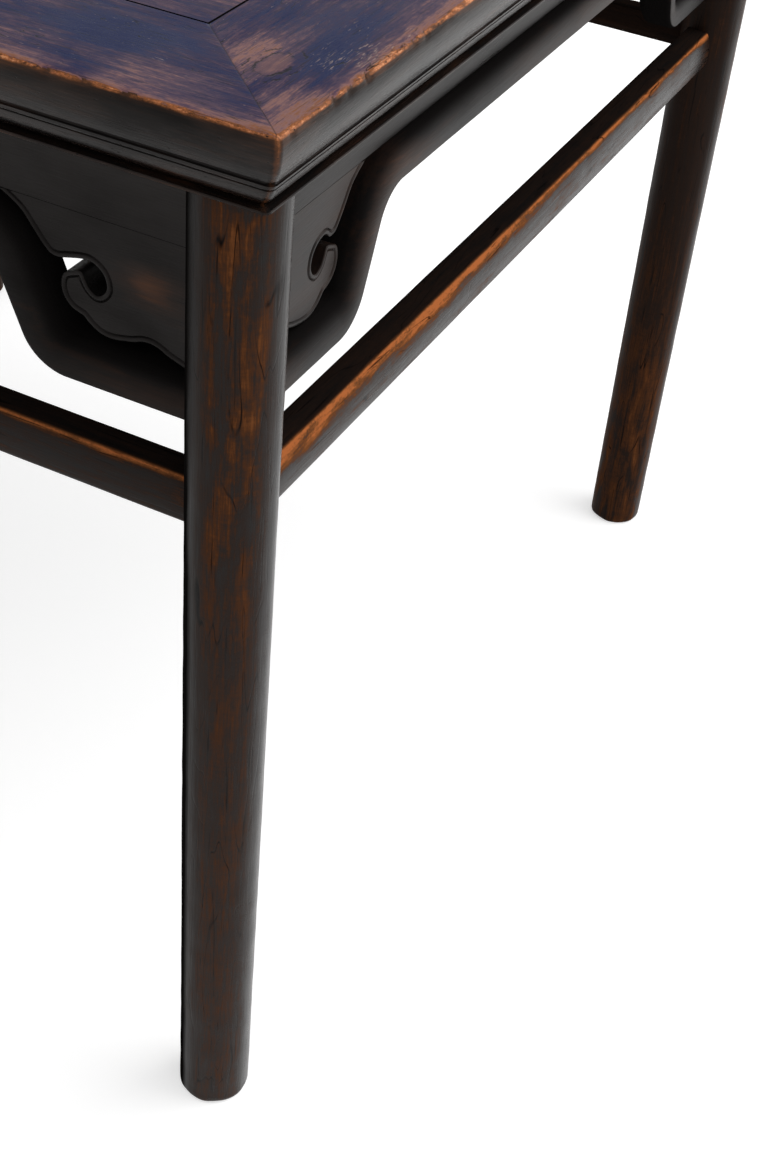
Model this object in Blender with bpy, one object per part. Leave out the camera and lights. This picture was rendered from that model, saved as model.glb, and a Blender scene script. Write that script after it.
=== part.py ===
"""Square table with round legs, humpback and straight stretchers, and cloud-scroll spandrels.

Run in Blender, it builds every wooden piece as its own object with its joints, in metres, with +Z up.
The origin is on the floor under the table's middle. A side is modelled facing -Y and then turned into
place about the origin.
"""

import math

import bmesh
import bpy
from mathutils import Vector

# Overall sizes
TABLE_HEIGHT = 0.820
TOP_WIDTH = 0.968
FIT = 0.0003  # clearance in every joint
JOINT_WEB = 0.0025  # wood left between two neighbouring mortises

# Top frame and its moulded edge, from the upper arris down
FRAME_WIDTH = 0.099
FRAME_THICKNESS = 0.048
ARRIS_RADIUS = 0.003
FACET_HEIGHT = 0.0265
FACET_LEAN = 0.0048
GROOVE_HEIGHT = 0.0026
GROOVE_DEPTH = 0.0024
BEAD_SETBACK = 0.0010
BEAD_LEAN = 0.0114
FILLET_REACH = 0.0072
FILLET_HEIGHT = 0.0018
FILLET_CHAMFER = 0.0006
MITRE_TENON_INSET = 0.017
MITRE_TENON_WIDTH = 0.050
MITRE_TENON_THICKNESS = 0.013
MITRE_TENON_COVER = 0.026  # from the top's edge to the hidden tenon's end

# Floating panel and the battens that hold it flat
PANEL_BOARDS = 3
PANEL_THICKNESS = 0.014
PANEL_GAP = 0.0010
PANEL_TONGUE_LENGTH = 0.0085
PANEL_TONGUE_THICKNESS = 0.006
PANEL_TONGUE_RISE = 0.002
BOARD_TONGUE_LENGTH = 0.005
BOARD_TONGUE_THICKNESS = 0.004
BATTEN_SPACING = 0.260
BATTEN_WIDTH = 0.040
BATTEN_HEIGHT = 0.030
BATTEN_TENON_WIDTH = 0.026
BATTEN_TENON_HEIGHT = 0.012
BATTEN_TENON_LENGTH = 0.018
DOVETAIL_NECK = 0.022
DOVETAIL_HEAD = 0.028
DOVETAIL_HEIGHT = 0.005

# Round legs
LEG_INSET = 0.0463  # from the top's edge to the leg's axis
LEG_FOOT_DIAMETER = 0.0534
LEG_TOP_DIAMETER = 0.0570
LEG_FACETS = 32
FOOT_ROUND = 0.0045
FOOT_ROUND_STEPS = 3
LEG_TENON_SIDE = 0.013
LEG_TENON_OFFSET = 0.0105

# Apron boards. A setback is measured inwards from the plane of the leg axes.
APRON_SETBACK = 0.0077
APRON_THICKNESS = 0.016
APRON_HEIGHT = 0.0595
APRON_TENON_SHOULDER = 0.0018
APRON_TENON_MARGIN = 0.008
EDGE_TONGUE_THICKNESS = 0.006  # also the apron's and the spandrel's tenons into the leg
EDGE_TONGUE_HEIGHT = 0.006
APRON_TONGUE_INSET = 0.048

# Cloud-scroll spandrels: the cusp and the hook's reach from the leg axis, and the gap to the stretcher
SCROLL_CUSP = 0.1215
SCROLL_REACH = {"front": 0.1213, "side": 0.1337}
SCROLL_GAP = {"front": 0.0058, "side": 0.0015}
SCROLL_STEPS = 3
SPANDREL_TONGUE_START = 0.040
SPANDREL_TONGUE_END = 0.110
SPANDREL_TENON_TOP = 0.012
SPANDREL_TENON_HEIGHT = 0.040

# Humpback stretchers: the bend is from the end of the scroll to the middle of the rise
HUMP_SETBACK = 0.0122
HUMP_DEPTH = 0.031
HUMP_HEIGHT = 0.025
HUMP_RISE = 0.0806
HUMP_BEND = {"front": 0.0310, "side": 0.0293}
HUMP_SLOPE = math.radians(68)
HUMP_LOWER_RADIUS = 0.034
HUMP_UPPER_RADIUS = 0.029
HUMP_BEND_STEPS = 5
HUMP_SHOULDER_WIDTH = 0.012
HUMP_SHOULDER_HEIGHT = 0.017
HUMP_SHOULDER_STEPS = 4
HUMP_INNER_CUT = 0.007  # how far the underside is cut back from the inner face, and up it
HUMP_EDGE_ROUND = 0.0035
HUMP_TENON_SETBACK = 0.006
HUMP_TENON_THICKNESS = 0.008
HUMP_TENON_MARGIN = 0.004

# Straight stretchers
STRETCHER_GAP = 0.0356  # open height below the low ends of the humpback
STRETCHER_HEIGHT = 0.0323
STRETCHER_SETBACK = 0.0145  # to the inner face
STRETCHER_TOP_WIDTH = 0.021
STRETCHER_FLARE = 0.0029
STRETCHER_BULGE = 0.0016
STRETCHER_FACE_STEPS = 5
STRETCHER_INNER_ROUND = 0.003
STRETCHER_UNDER_RISE = 0.0115  # the underside rises towards the inner face
STRETCHER_EDGE_ROUND = 0.0035
STRETCHER_TENON_THICKNESS = 0.009
STRETCHER_TENON_MARGIN = 0.004

# Places worked out from those sizes
HALF_TOP = TOP_WIDTH / 2
FRAME_INNER = HALF_TOP - FRAME_WIDTH
FRAME_UNDER = TABLE_HEIGHT - FRAME_THICKNESS
LEG_AXIS = HALF_TOP - LEG_INSET
LEG_TOP = FRAME_UNDER - FIT
PANEL_UNDER = TABLE_HEIGHT - PANEL_THICKNESS
PANEL_HALF = FRAME_INNER - PANEL_GAP
PANEL_TONGUE_LOW = PANEL_UNDER + PANEL_TONGUE_RISE
PANEL_TONGUE_HIGH = PANEL_TONGUE_LOW + PANEL_TONGUE_THICKNESS
MITRE_TENON_HIGH = PANEL_UNDER - JOINT_WEB
MITRE_TENON_LOW = MITRE_TENON_HIGH - MITRE_TENON_THICKNESS
MITRE_TENON_NEAR = FRAME_INNER + MITRE_TENON_INSET
MITRE_TENON_FAR = MITRE_TENON_NEAR + MITRE_TENON_WIDTH
MITRE_TENON_END = HALF_TOP - MITRE_TENON_COVER
LEG_TENON_HIGH = MITRE_TENON_LOW - JOINT_WEB
BATTEN_HIGH = PANEL_UNDER - FIT
BATTEN_MIDDLE = BATTEN_HIGH - BATTEN_HEIGHT / 2
APRON_FACE = LEG_AXIS - APRON_SETBACK
APRON_BACK = APRON_FACE - APRON_THICKNESS
APRON_LOW = FRAME_UNDER - APRON_HEIGHT
APRON_TONGUE_HALF = LEG_AXIS - APRON_TONGUE_INSET
EDGE_TENON_SETBACK = APRON_SETBACK + APRON_TENON_SHOULDER + EDGE_TONGUE_THICKNESS / 2
HUMP_TOP_HIGH = APRON_LOW - FIT
HUMP_UNDER_HIGH = HUMP_TOP_HIGH - HUMP_HEIGHT
HUMP_UNDER_LOW = HUMP_UNDER_HIGH - HUMP_RISE
SPANDREL_LOW = HUMP_UNDER_LOW + HUMP_HEIGHT + FIT
STRETCHER_TOP = HUMP_UNDER_LOW - STRETCHER_GAP
STRETCHER_UNDER = STRETCHER_TOP - STRETCHER_HEIGHT
STRETCHER_TENON_SETBACK = STRETCHER_SETBACK - STRETCHER_TOP_WIDTH / 2

EDGE_ROUND_STEPS = 2
PLENTY = 0.010  # how far a cutter runs past the wood it cuts
SINK = 0.006  # how far a tenon's block starts inside its own piece

SIDES = ("front", "right", "back", "left")
CORNERS = ("front_right", "back_right", "back_left", "front_left")
QUARTER_TURN = math.pi / 2


# Materials

def wood_material(name, colour, roughness):
    """Plain lacquered or bare wood."""
    material = bpy.data.materials.new(name)
    material.use_nodes = True
    shader = material.node_tree.nodes["Principled BSDF"]
    shader.inputs["Base Color"].default_value = (*colour, 1.0)
    shader.inputs["Roughness"].default_value = roughness
    shader.inputs["Metallic"].default_value = 0.0
    return material


# Solids as bmeshes

def add_box(solid, low, high):
    """Adds a box between two corners to a bmesh."""
    xs, ys, zs = zip(low, high)
    points = [solid.verts.new((x, y, z)) for z in zs for y in ys for x in xs]
    for face in ((0, 2, 3, 1), (4, 5, 7, 6), (0, 1, 5, 4), (2, 6, 7, 3), (0, 4, 6, 2), (1, 3, 7, 5)):
        solid.faces.new([points[i] for i in face])


def boxes(*ranges):
    """One bmesh of boxes, each given as its ranges of x, depth and height. Depth runs outwards, to -Y."""
    solid = bmesh.new()
    for (x0, x1), (near, far), (z0, z1) in ranges:
        add_box(solid, (min(x0, x1), -far, z0), (max(x0, x1), -near, z1))
    return solid


def sweep(rings):
    """A closed bmesh through rings of equally many points, capped at both ends."""
    solid = bmesh.new()
    loops = [[solid.verts.new(point) for point in ring] for ring in rings]
    count = len(loops[0])
    for this, following in zip(loops, loops[1:]):
        for i in range(count):
            j = (i + 1) % count
            solid.faces.new((this[i], this[j], following[j], following[i]))
    solid.faces.new(loops[0])
    solid.faces.new(loops[-1])
    bmesh.ops.recalc_face_normals(solid, faces=solid.faces)
    return solid


def arc(centre, radii, start, end, steps):
    """Points on an elliptical arc, both ends included."""
    angles = [start + (end - start) * i / steps for i in range(steps + 1)]
    return [(centre[0] + radii[0] * math.cos(a), centre[1] + radii[1] * math.sin(a)) for a in angles]


def smooth_stroke(points, steps):
    """A Catmull-Rom curve through the points, without its last point."""
    padded = [Vector(point) for point in (points[0], *points, points[-1])]
    curve = []
    for a, b, c, d in zip(padded, padded[1:], padded[2:], padded[3:]):
        linear = c - a
        square = 2 * a - 5 * b + 4 * c - d
        cube = 3 * b - a - 3 * c + d
        for i in range(steps):
            t = i / steps
            curve.append(b + (linear * t + square * t ** 2 + cube * t ** 3) / 2)
    return curve


# Objects

def helper_object(solid):
    mesh = bpy.data.meshes.new("helper")
    solid.to_mesh(mesh)
    solid.free()
    helper = bpy.data.objects.new("helper", mesh)
    helper.hide_render = True
    helper.display_type = "WIRE"
    bpy.context.scene.collection.objects.link(helper)
    return helper


def carved(name, solid, *steps):
    """The mesh of a solid after its Booleans, each given as an operation and another solid."""
    body = helper_object(solid)
    tools = []
    for operation, other in steps:
        tool = helper_object(other)
        modifier = body.modifiers.new(operation, "BOOLEAN")
        modifier.operation = operation
        modifier.solver = "EXACT"
        modifier.object = tool
        tools.append(tool)
    graph = bpy.context.evaluated_depsgraph_get()
    mesh = bpy.data.meshes.new_from_object(body.evaluated_get(graph))
    mesh.name = name
    mesh.shade_smooth()
    mesh.set_sharp_from_angle(angle=math.radians(35))
    for helper in (body, *tools):
        bpy.data.objects.remove(helper)
    return mesh


def place(name, mesh, material, parent=None, location=(0, 0, 0)):
    if not mesh.materials:
        mesh.materials.append(material)
    piece = bpy.data.objects.new(name, mesh)
    piece.location = location
    piece.parent = parent
    bpy.context.scene.collection.objects.link(piece)
    return piece


# Round legs and what meets them

def leg_radius(height):
    taper = (LEG_TOP_DIAMETER - LEG_FOOT_DIAMETER) / LEG_TOP
    return (LEG_FOOT_DIAMETER + taper * height) / 2


def leg_ring(radius, height, centre=(0, 0)):
    ring = []
    for i in range(LEG_FACETS):
        angle = 2 * math.pi * i / LEG_FACETS
        x = centre[0] + radius * math.cos(angle)
        y = centre[1] + radius * math.sin(angle)
        ring.append(Vector((x, y, height)))
    return ring


def leg_envelopes():
    """The room that the two legs of a side take up, with the joints' clearance."""
    room = bmesh.new()
    for end in (-1, 1):
        heights = (-PLENTY, TABLE_HEIGHT)
        rings = [leg_ring(leg_radius(z) + FIT, z, (end * LEG_AXIS, -LEG_AXIS)) for z in heights]
        one = sweep(rings)
        mesh = bpy.data.meshes.new("envelope")
        one.to_mesh(mesh)
        one.free()
        room.from_mesh(mesh)
        bpy.data.meshes.remove(mesh)
    return room


def tenon_end(setback, thickness):
    """How far from the leg's axis a stub tenon stops, so that the two sides' tenons don't meet."""
    return abs(setback) + thickness / 2 + JOINT_WEB


def side_tenons(setback, thickness, low, high):
    """The stub tenons at both ends of a side's piece."""
    depth = LEG_AXIS - setback
    start = LEG_AXIS - leg_radius(low) - SINK
    end = LEG_AXIS - tenon_end(setback, thickness)
    across = (depth - thickness / 2, depth + thickness / 2)
    return boxes(*[((hand * start, hand * end), across, (low, high)) for hand in (-1, 1)])


def leg_mortises(setback, thickness, low, high):
    """The mortises in one leg for the tenons of its two sides: one faces -X, the other +Y."""
    near = tenon_end(setback, thickness) - FIT
    far = leg_radius(high) + PLENTY
    inner = setback - thickness / 2 - FIT
    outer = setback + thickness / 2 + FIT
    heights = (low - FIT, high + FIT)
    return [((-far, -near), (-outer, -inner), heights), ((-outer, -inner), (-far, -near), heights)]


APRON_TENON = (
    EDGE_TENON_SETBACK, EDGE_TONGUE_THICKNESS,
    APRON_LOW + APRON_TENON_MARGIN, FRAME_UNDER - APRON_TENON_MARGIN,
)
SPANDREL_TENON = (
    EDGE_TENON_SETBACK, EDGE_TONGUE_THICKNESS,
    APRON_LOW - SPANDREL_TENON_TOP - SPANDREL_TENON_HEIGHT, APRON_LOW - SPANDREL_TENON_TOP,
)
HUMP_TENON = (
    HUMP_TENON_SETBACK, HUMP_TENON_THICKNESS,
    HUMP_UNDER_LOW + HUMP_TENON_MARGIN, HUMP_UNDER_LOW + HUMP_HEIGHT - HUMP_TENON_MARGIN,
)
STRETCHER_TENON = (
    STRETCHER_TENON_SETBACK, STRETCHER_TENON_THICKNESS,
    STRETCHER_UNDER + STRETCHER_UNDER_RISE + STRETCHER_TENON_MARGIN,
    STRETCHER_TOP - STRETCHER_TENON_MARGIN,
)


def leg_mesh():
    """One leg about its own axis: rounded foot, mortises on two sides, twin tenons on top."""
    centre = (leg_radius(0) - FOOT_ROUND, FOOT_ROUND)
    foot = arc(centre, (FOOT_ROUND, FOOT_ROUND), -math.pi / 2, 0, FOOT_ROUND_STEPS)
    profile = [*foot, (leg_radius(LEG_TOP), LEG_TOP)]
    shaft = sweep([leg_ring(radius, height) for radius, height in profile])
    mortises = []
    for tenon in (APRON_TENON, SPANDREL_TENON, HUMP_TENON, STRETCHER_TENON):
        mortises += leg_mortises(*tenon)
    half = LEG_TENON_SIDE / 2
    twins = []
    for offset in (-LEG_TENON_OFFSET, LEG_TENON_OFFSET):
        span = (offset - half, offset + half)
        twins.append((span, (-span[1], -span[0]), (LEG_TOP - SINK, LEG_TENON_HIGH)))
    return carved("leg", shaft, ("DIFFERENCE", boxes(*mortises)), ("UNION", boxes(*twins)))


# Top frame

def frame_profile():
    """Section of a frame member as depth from the table's middle and height."""
    facet_foot = HALF_TOP - FACET_LEAN
    facet_low = TABLE_HEIGHT - FACET_HEIGHT
    groove_floor = facet_foot - GROOVE_DEPTH
    bead_top = facet_foot - BEAD_SETBACK
    bead_high = facet_low - GROOVE_HEIGHT
    bead_low = FRAME_UNDER + FILLET_HEIGHT
    bead_height = bead_high - bead_low
    bead_foot = bead_top - BEAD_LEAN
    fillet = bead_foot + FILLET_REACH
    corner = (HALF_TOP - ARRIS_RADIUS, TABLE_HEIGHT - ARRIS_RADIUS)
    upper_arris = arc(corner, (ARRIS_RADIUS, ARRIS_RADIUS), math.pi / 2, 0, 3)
    facet = [(HALF_TOP - FACET_LEAN * lean, TABLE_HEIGHT - FACET_HEIGHT * drop)
             for lean, drop in ((0.10, 0.40), (0.42, 0.72), (1.0, 1.0))]
    bead = [(bead_top - BEAD_LEAN * lean, bead_high - bead_height * drop)
            for lean, drop in ((0.0, 0.0), (0.18, 0.36), (0.50, 0.72), (1.0, 1.0))]
    return [
        (FRAME_INNER, TABLE_HEIGHT),
        *upper_arris,
        *facet,
        (groove_floor, facet_low - GROOVE_HEIGHT * 0.35),
        (groove_floor, facet_low - GROOVE_HEIGHT * 0.70),
        *bead,
        (fillet - FILLET_CHAMFER, bead_low),
        (fillet, bead_low - FILLET_CHAMFER),
        (fillet, FRAME_UNDER + FILLET_CHAMFER),
        (fillet - FILLET_CHAMFER, FRAME_UNDER),
        (FRAME_INNER, FRAME_UNDER),
    ]


def frame_cuts(batten_mortises):
    """What every frame member has cut out of it, as box ranges."""
    tongue_end = PANEL_HALF + PANEL_TONGUE_LENGTH + FIT
    tongue_room = (PANEL_TONGUE_LOW - FIT, PANEL_TONGUE_HIGH + FIT)
    cuts = [((-HALF_TOP, HALF_TOP), (FRAME_INNER - PLENTY, tongue_end), tongue_room)]
    apron_middle = (APRON_FACE + APRON_BACK) / 2
    half_tongue = EDGE_TONGUE_THICKNESS / 2 + FIT
    cuts.append((
        (-APRON_TONGUE_HALF - FIT, APRON_TONGUE_HALF + FIT),
        (apron_middle - half_tongue, apron_middle + half_tongue),
        (FRAME_UNDER - PLENTY, FRAME_UNDER + EDGE_TONGUE_HEIGHT + FIT),
    ))
    half_tenon = LEG_TENON_SIDE / 2 + FIT
    for hand in (-1, 1):
        x = hand * (LEG_AXIS - LEG_TENON_OFFSET)
        depth = LEG_AXIS + LEG_TENON_OFFSET
        cuts.append((
            (x - half_tenon, x + half_tenon), (depth - half_tenon, depth + half_tenon),
            (FRAME_UNDER - PLENTY, LEG_TENON_HIGH + FIT),
        ))
    if batten_mortises:
        half_width = BATTEN_TENON_WIDTH / 2 + FIT
        half_height = BATTEN_TENON_HEIGHT / 2 + FIT
        for x in (-BATTEN_SPACING / 2, BATTEN_SPACING / 2):
            cuts.append((
                (x - half_width, x + half_width),
                (FRAME_INNER - PLENTY, FRAME_INNER + BATTEN_TENON_LENGTH + FIT),
                (BATTEN_MIDDLE - half_height, BATTEN_MIDDLE + half_height),
            ))
    return cuts


def frame_mesh(tenoned):
    """A mitred member. The front and back ones carry the mitre tenons, the other two their mortises."""
    profile = frame_profile()
    member = sweep([
        [Vector((hand * (depth - FIT), -depth, height)) for depth, height in profile] for hand in (-1, 1)
    ])
    cuts = frame_cuts(batten_mortises=tenoned)
    if tenoned:
        start = MITRE_TENON_NEAR - SINK
        tenons = boxes(*[
            ((hand * start, hand * MITRE_TENON_END), (MITRE_TENON_NEAR, MITRE_TENON_FAR),
             (MITRE_TENON_LOW, MITRE_TENON_HIGH))
            for hand in (-1, 1)
        ])
        return carved("frame_tenoned", member, ("DIFFERENCE", boxes(*cuts)), ("UNION", tenons))
    near = MITRE_TENON_NEAR - FIT
    far = MITRE_TENON_FAR + FIT
    cuts += [
        ((hand * near, hand * far), (FRAME_INNER - PLENTY, MITRE_TENON_END + FIT),
         (MITRE_TENON_LOW - FIT, MITRE_TENON_HIGH + FIT))
        for hand in (-1, 1)
    ]
    return carved("frame_mortised", member, ("DIFFERENCE", boxes(*cuts)))


# Panel and battens

def dovetail(middle, y_range, slack, foot):
    """A dovetail rib along Y, or with slack the groove for it; foot is how far its neck runs down."""
    neck = DOVETAIL_NECK / 2 + slack
    head = DOVETAIL_HEAD / 2 + slack
    high = PANEL_UNDER + DOVETAIL_HEIGHT + slack
    section = [(-neck, PANEL_UNDER - foot), (neck, PANEL_UNDER - foot), (neck, PANEL_UNDER),
               (head, high), (-head, high), (-neck, PANEL_UNDER)]
    return sweep([[Vector((middle + x, y, z)) for x, z in section] for y in y_range])


def board_mesh(index):
    """A panel board: tongues into the frame, tongue and groove between boards, dovetail grooves beneath."""
    width = (2 * PANEL_HALF - FIT * (PANEL_BOARDS - 1)) / PANEL_BOARDS
    near = -PANEL_HALF + index * (width + FIT)
    far = near + width
    first = index == 0
    last = index == PANEL_BOARDS - 1
    slab = bmesh.new()
    add_box(slab, (-PANEL_HALF, near, PANEL_UNDER), (PANEL_HALF, far, TABLE_HEIGHT))
    tongue_ends = bmesh.new()
    reach = PANEL_HALF + PANEL_TONGUE_LENGTH
    inset = BOARD_TONGUE_LENGTH + PANEL_TONGUE_RISE
    low_y = -reach if first else near + inset
    high_y = reach if last else far - inset
    add_box(tongue_ends, (-reach, low_y, PANEL_TONGUE_LOW), (reach, high_y, PANEL_TONGUE_HIGH))
    steps = [("UNION", tongue_ends)]
    middle = (PANEL_TONGUE_LOW + PANEL_TONGUE_HIGH) / 2
    half = BOARD_TONGUE_THICKNESS / 2
    if not last:
        tongue = bmesh.new()
        add_box(tongue, (-PANEL_HALF + SINK, far - SINK, middle - half),
                (PANEL_HALF - SINK, far + BOARD_TONGUE_LENGTH, middle + half))
        steps.append(("UNION", tongue))
    if not first:
        groove = bmesh.new()
        add_box(groove, (-reach - PLENTY, near - PLENTY, middle - half - FIT),
                (reach + PLENTY, near - FIT + BOARD_TONGUE_LENGTH + FIT, middle + half + FIT))
        steps.append(("DIFFERENCE", groove))
    for x in (-BATTEN_SPACING / 2, BATTEN_SPACING / 2):
        steps.append(("DIFFERENCE", dovetail(x, (-HALF_TOP, HALF_TOP), FIT, PLENTY)))
    return carved("board", slab, *steps)


def batten_mesh(x):
    """A batten across the boards: dovetail rib on top, stub tenons into the frame."""
    length = FRAME_INNER - FIT
    body = bmesh.new()
    half = BATTEN_WIDTH / 2
    add_box(body, (x - half, -length, BATTEN_HIGH - BATTEN_HEIGHT), (x + half, length, BATTEN_HIGH))
    rib_end = length - SINK
    rib = dovetail(x, (-rib_end, rib_end), 0.0, SINK)
    half_tenon = BATTEN_TENON_WIDTH / 2
    tenons = bmesh.new()
    tenon_start = length - SINK
    tenon_reach = FRAME_INNER + BATTEN_TENON_LENGTH
    low = BATTEN_MIDDLE - BATTEN_TENON_HEIGHT / 2
    high = BATTEN_MIDDLE + BATTEN_TENON_HEIGHT / 2
    for near, far in ((-tenon_reach, -tenon_start), (tenon_start, tenon_reach)):
        add_box(tenons, (x - half_tenon, near, low), (x + half_tenon, far, high))
    return carved("batten", body, ("UNION", rib), ("UNION", tenons))


# Aprons and spandrels, mitred to each other behind the leg

def apron_mesh():
    """An apron board: tongue into the frame, grooves for the spandrels below, coped and tenoned ends."""
    section = [
        (APRON_BACK, APRON_LOW), (APRON_FACE, APRON_LOW), (APRON_FACE, LEG_TOP), (APRON_BACK, LEG_TOP),
    ]
    board = sweep([
        [Vector((hand * (depth - FIT), -depth, height)) for depth, height in section] for hand in (-1, 1)
    ])
    middle = (APRON_FACE + APRON_BACK) / 2
    half = EDGE_TONGUE_THICKNESS / 2
    tongue = boxes((
        (-APRON_TONGUE_HALF, APRON_TONGUE_HALF), (middle - half, middle + half),
        (LEG_TOP - SINK, FRAME_UNDER + EDGE_TONGUE_HEIGHT),
    ))
    start = LEG_AXIS - SPANDREL_TONGUE_START + FIT
    end = LEG_AXIS - SPANDREL_TONGUE_END - FIT
    grooves = boxes(*[
        ((hand * start, hand * end), (middle - half - FIT, middle + half + FIT),
         (APRON_LOW - PLENTY, APRON_LOW + EDGE_TONGUE_HEIGHT + FIT))
        for hand in (-1, 1)
    ])
    return carved(
        "apron", board, ("DIFFERENCE", leg_envelopes()), ("DIFFERENCE", grooves),
        ("UNION", tongue), ("UNION", side_tenons(*APRON_TENON)),
    )


def scroll_outline(kind):
    """The spandrel's outline as distance from the leg axis and distance below the apron."""
    reach = SCROLL_REACH[kind]
    tip = APRON_LOW - FIT - SPANDREL_LOW
    drop = tip - SCROLL_GAP[kind]

    def stroke(*shares):
        return smooth_stroke([(u * reach, w * drop) for u, w in shares], SCROLL_STEPS)

    cusp = (SCROLL_CUSP / reach, 0.434)
    rise = [(1.34, 0.0), (1.22, 0.115), (1.15, 0.25), (1.095, 0.36), (1.05, 0.425)]
    ogee = stroke(*[(u * cusp[0], w) for u, w in rise], cusp)
    hook = stroke(
        cusp, (0.86, 0.378), (0.795, 0.40), (0.752, 0.47), (0.74, 0.57), (0.765, 0.64), (0.80, 0.664),
        (0.838, 0.625), (0.862, 0.56), (0.885, 0.497), (0.945, 0.525), (0.985, 0.565), (1.0, 0.66),
        (0.985, 0.76), (0.94, 0.84), (0.875, 0.878),
    )
    lobe = stroke(
        (0.875, 0.878), (0.845, 0.925), (0.81, 0.965), (0.765, 0.995), (0.70, 1.0), (0.60, 0.965),
        (0.55, 0.935), (0.50, 0.925), (0.45, 0.945), (0.40, 0.985), (0.31, 0.96 * tip / drop),
    )
    return [(0.0, 0.0), *ogee, *hook, *lobe, (0.25 * reach, tip), (0.0, tip)]


def spandrel_mesh(kind, hand):
    """A cloud-scroll board under one end of the apron, with a tongue into it and a tenon into the leg."""
    outline = [(LEG_AXIS - u, APRON_LOW - FIT - w) for u, w in scroll_outline(kind)]
    board = sweep([
        [Vector((hand * min(x, depth - FIT), -depth, z)) for x, z in outline]
        for depth in (APRON_BACK, APRON_FACE)
    ])
    middle = (APRON_FACE + APRON_BACK) / 2
    half = EDGE_TONGUE_THICKNESS / 2
    tongue = boxes((
        (hand * (LEG_AXIS - SPANDREL_TONGUE_START), hand * (LEG_AXIS - SPANDREL_TONGUE_END)),
        (middle - half, middle + half), (APRON_LOW - SINK, APRON_LOW + EDGE_TONGUE_HEIGHT),
    ))
    setback, thickness, low, high = SPANDREL_TENON
    depth = LEG_AXIS - setback
    tenon = boxes((
        (hand * (LEG_AXIS - leg_radius(low) - SINK), hand * (LEG_AXIS - tenon_end(setback, thickness))),
        (depth - thickness / 2, depth + thickness / 2), (low, high),
    ))
    return carved("spandrel", board, ("DIFFERENCE", leg_envelopes()), ("UNION", tongue), ("UNION", tenon))


# Stretchers

def hump_half_path(kind):
    """Underside of a humpback from the leg axis to the middle, as distance, height and slope."""
    sine = math.sin(HUMP_SLOPE)
    cosine = math.cos(HUMP_SLOPE)
    curved_rise = (HUMP_LOWER_RADIUS + HUMP_UPPER_RADIUS) * (1 - cosine)
    straight = (HUMP_RISE - curved_rise) / sine
    bend = max(SCROLL_REACH[kind], SCROLL_CUSP) + HUMP_BEND[kind]
    lower_end = bend - straight * cosine / 2
    lower_start = lower_end - HUMP_LOWER_RADIUS * sine
    upper_start = bend + straight * cosine / 2
    upper_low = HUMP_UNDER_HIGH - HUMP_UPPER_RADIUS * (1 - cosine)
    path = [(0.0, HUMP_UNDER_LOW, 0.0)]
    for i in range(HUMP_BEND_STEPS + 1):
        slope = HUMP_SLOPE * i / HUMP_BEND_STEPS
        rise = HUMP_LOWER_RADIUS * (1 - math.cos(slope))
        path.append((lower_start + HUMP_LOWER_RADIUS * math.sin(slope), HUMP_UNDER_LOW + rise, slope))
    for i in range(HUMP_BEND_STEPS + 1):
        slope = HUMP_SLOPE * (1 - i / HUMP_BEND_STEPS)
        along = upper_start + HUMP_UPPER_RADIUS * (sine - math.sin(slope))
        path.append((along, upper_low + HUMP_UPPER_RADIUS * (math.cos(slope) - cosine), slope))
    return path


def hump_section():
    """Section of a humpback as depth from its inner face and height above its underside."""
    shoulder = arc(
        (HUMP_DEPTH - HUMP_SHOULDER_WIDTH, HUMP_HEIGHT - HUMP_SHOULDER_HEIGHT),
        (HUMP_SHOULDER_WIDTH, HUMP_SHOULDER_HEIGHT), 0, math.pi / 2, HUMP_SHOULDER_STEPS,
    )
    edge = arc(
        (HUMP_DEPTH - HUMP_EDGE_ROUND, HUMP_EDGE_ROUND), (HUMP_EDGE_ROUND, HUMP_EDGE_ROUND),
        -math.pi / 2, 0, EDGE_ROUND_STEPS,
    )
    return [(0.0, HUMP_INNER_CUT), (HUMP_INNER_CUT, 0.0), *edge, *shoulder, (0.0, HUMP_HEIGHT)]


def humpback_mesh(kind):
    """A stretcher that drops at both ends from under the apron to the legs, and is mitred behind them."""
    inner_face = LEG_AXIS - HUMP_SETBACK - HUMP_DEPTH / 2
    section = hump_section()

    def ring(point, hand):
        along, height, slope = point
        corners = []
        for d, h in section:
            depth = inner_face + d
            x = min(LEG_AXIS - along + h * math.sin(slope), depth - FIT)
            corners.append(Vector((hand * x, -depth, height + h * math.cos(slope))))
        return corners

    half = hump_half_path(kind)
    rings = [ring(point, -1) for point in half] + [ring(point, 1) for point in reversed(half)]
    return carved(
        "humpback", sweep(rings), ("DIFFERENCE", leg_envelopes()), ("UNION", side_tenons(*HUMP_TENON)),
    )


def stretcher_section():
    """Section of a straight stretcher as depth from its inner face and height above its underside."""
    inner = arc(
        (STRETCHER_INNER_ROUND, STRETCHER_UNDER_RISE + STRETCHER_INNER_ROUND),
        (STRETCHER_INNER_ROUND, STRETCHER_INNER_ROUND), math.pi, 1.5 * math.pi, EDGE_ROUND_STEPS,
    )
    foot = STRETCHER_TOP_WIDTH + STRETCHER_FLARE
    edge = arc(
        (foot - STRETCHER_EDGE_ROUND, STRETCHER_EDGE_ROUND), (STRETCHER_EDGE_ROUND, STRETCHER_EDGE_ROUND),
        -math.pi / 2, 0, EDGE_ROUND_STEPS,
    )
    face = []
    for i in range(1, STRETCHER_FACE_STEPS + 1):
        t = i / STRETCHER_FACE_STEPS
        bulge = STRETCHER_BULGE * 4 * t * (1 - t)
        height = STRETCHER_EDGE_ROUND + (STRETCHER_HEIGHT - STRETCHER_EDGE_ROUND) * t
        face.append((STRETCHER_TOP_WIDTH + STRETCHER_FLARE * (1 - t) + bulge, height))
    return [*inner, *edge, *face, (0.0, STRETCHER_HEIGHT)]


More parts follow.
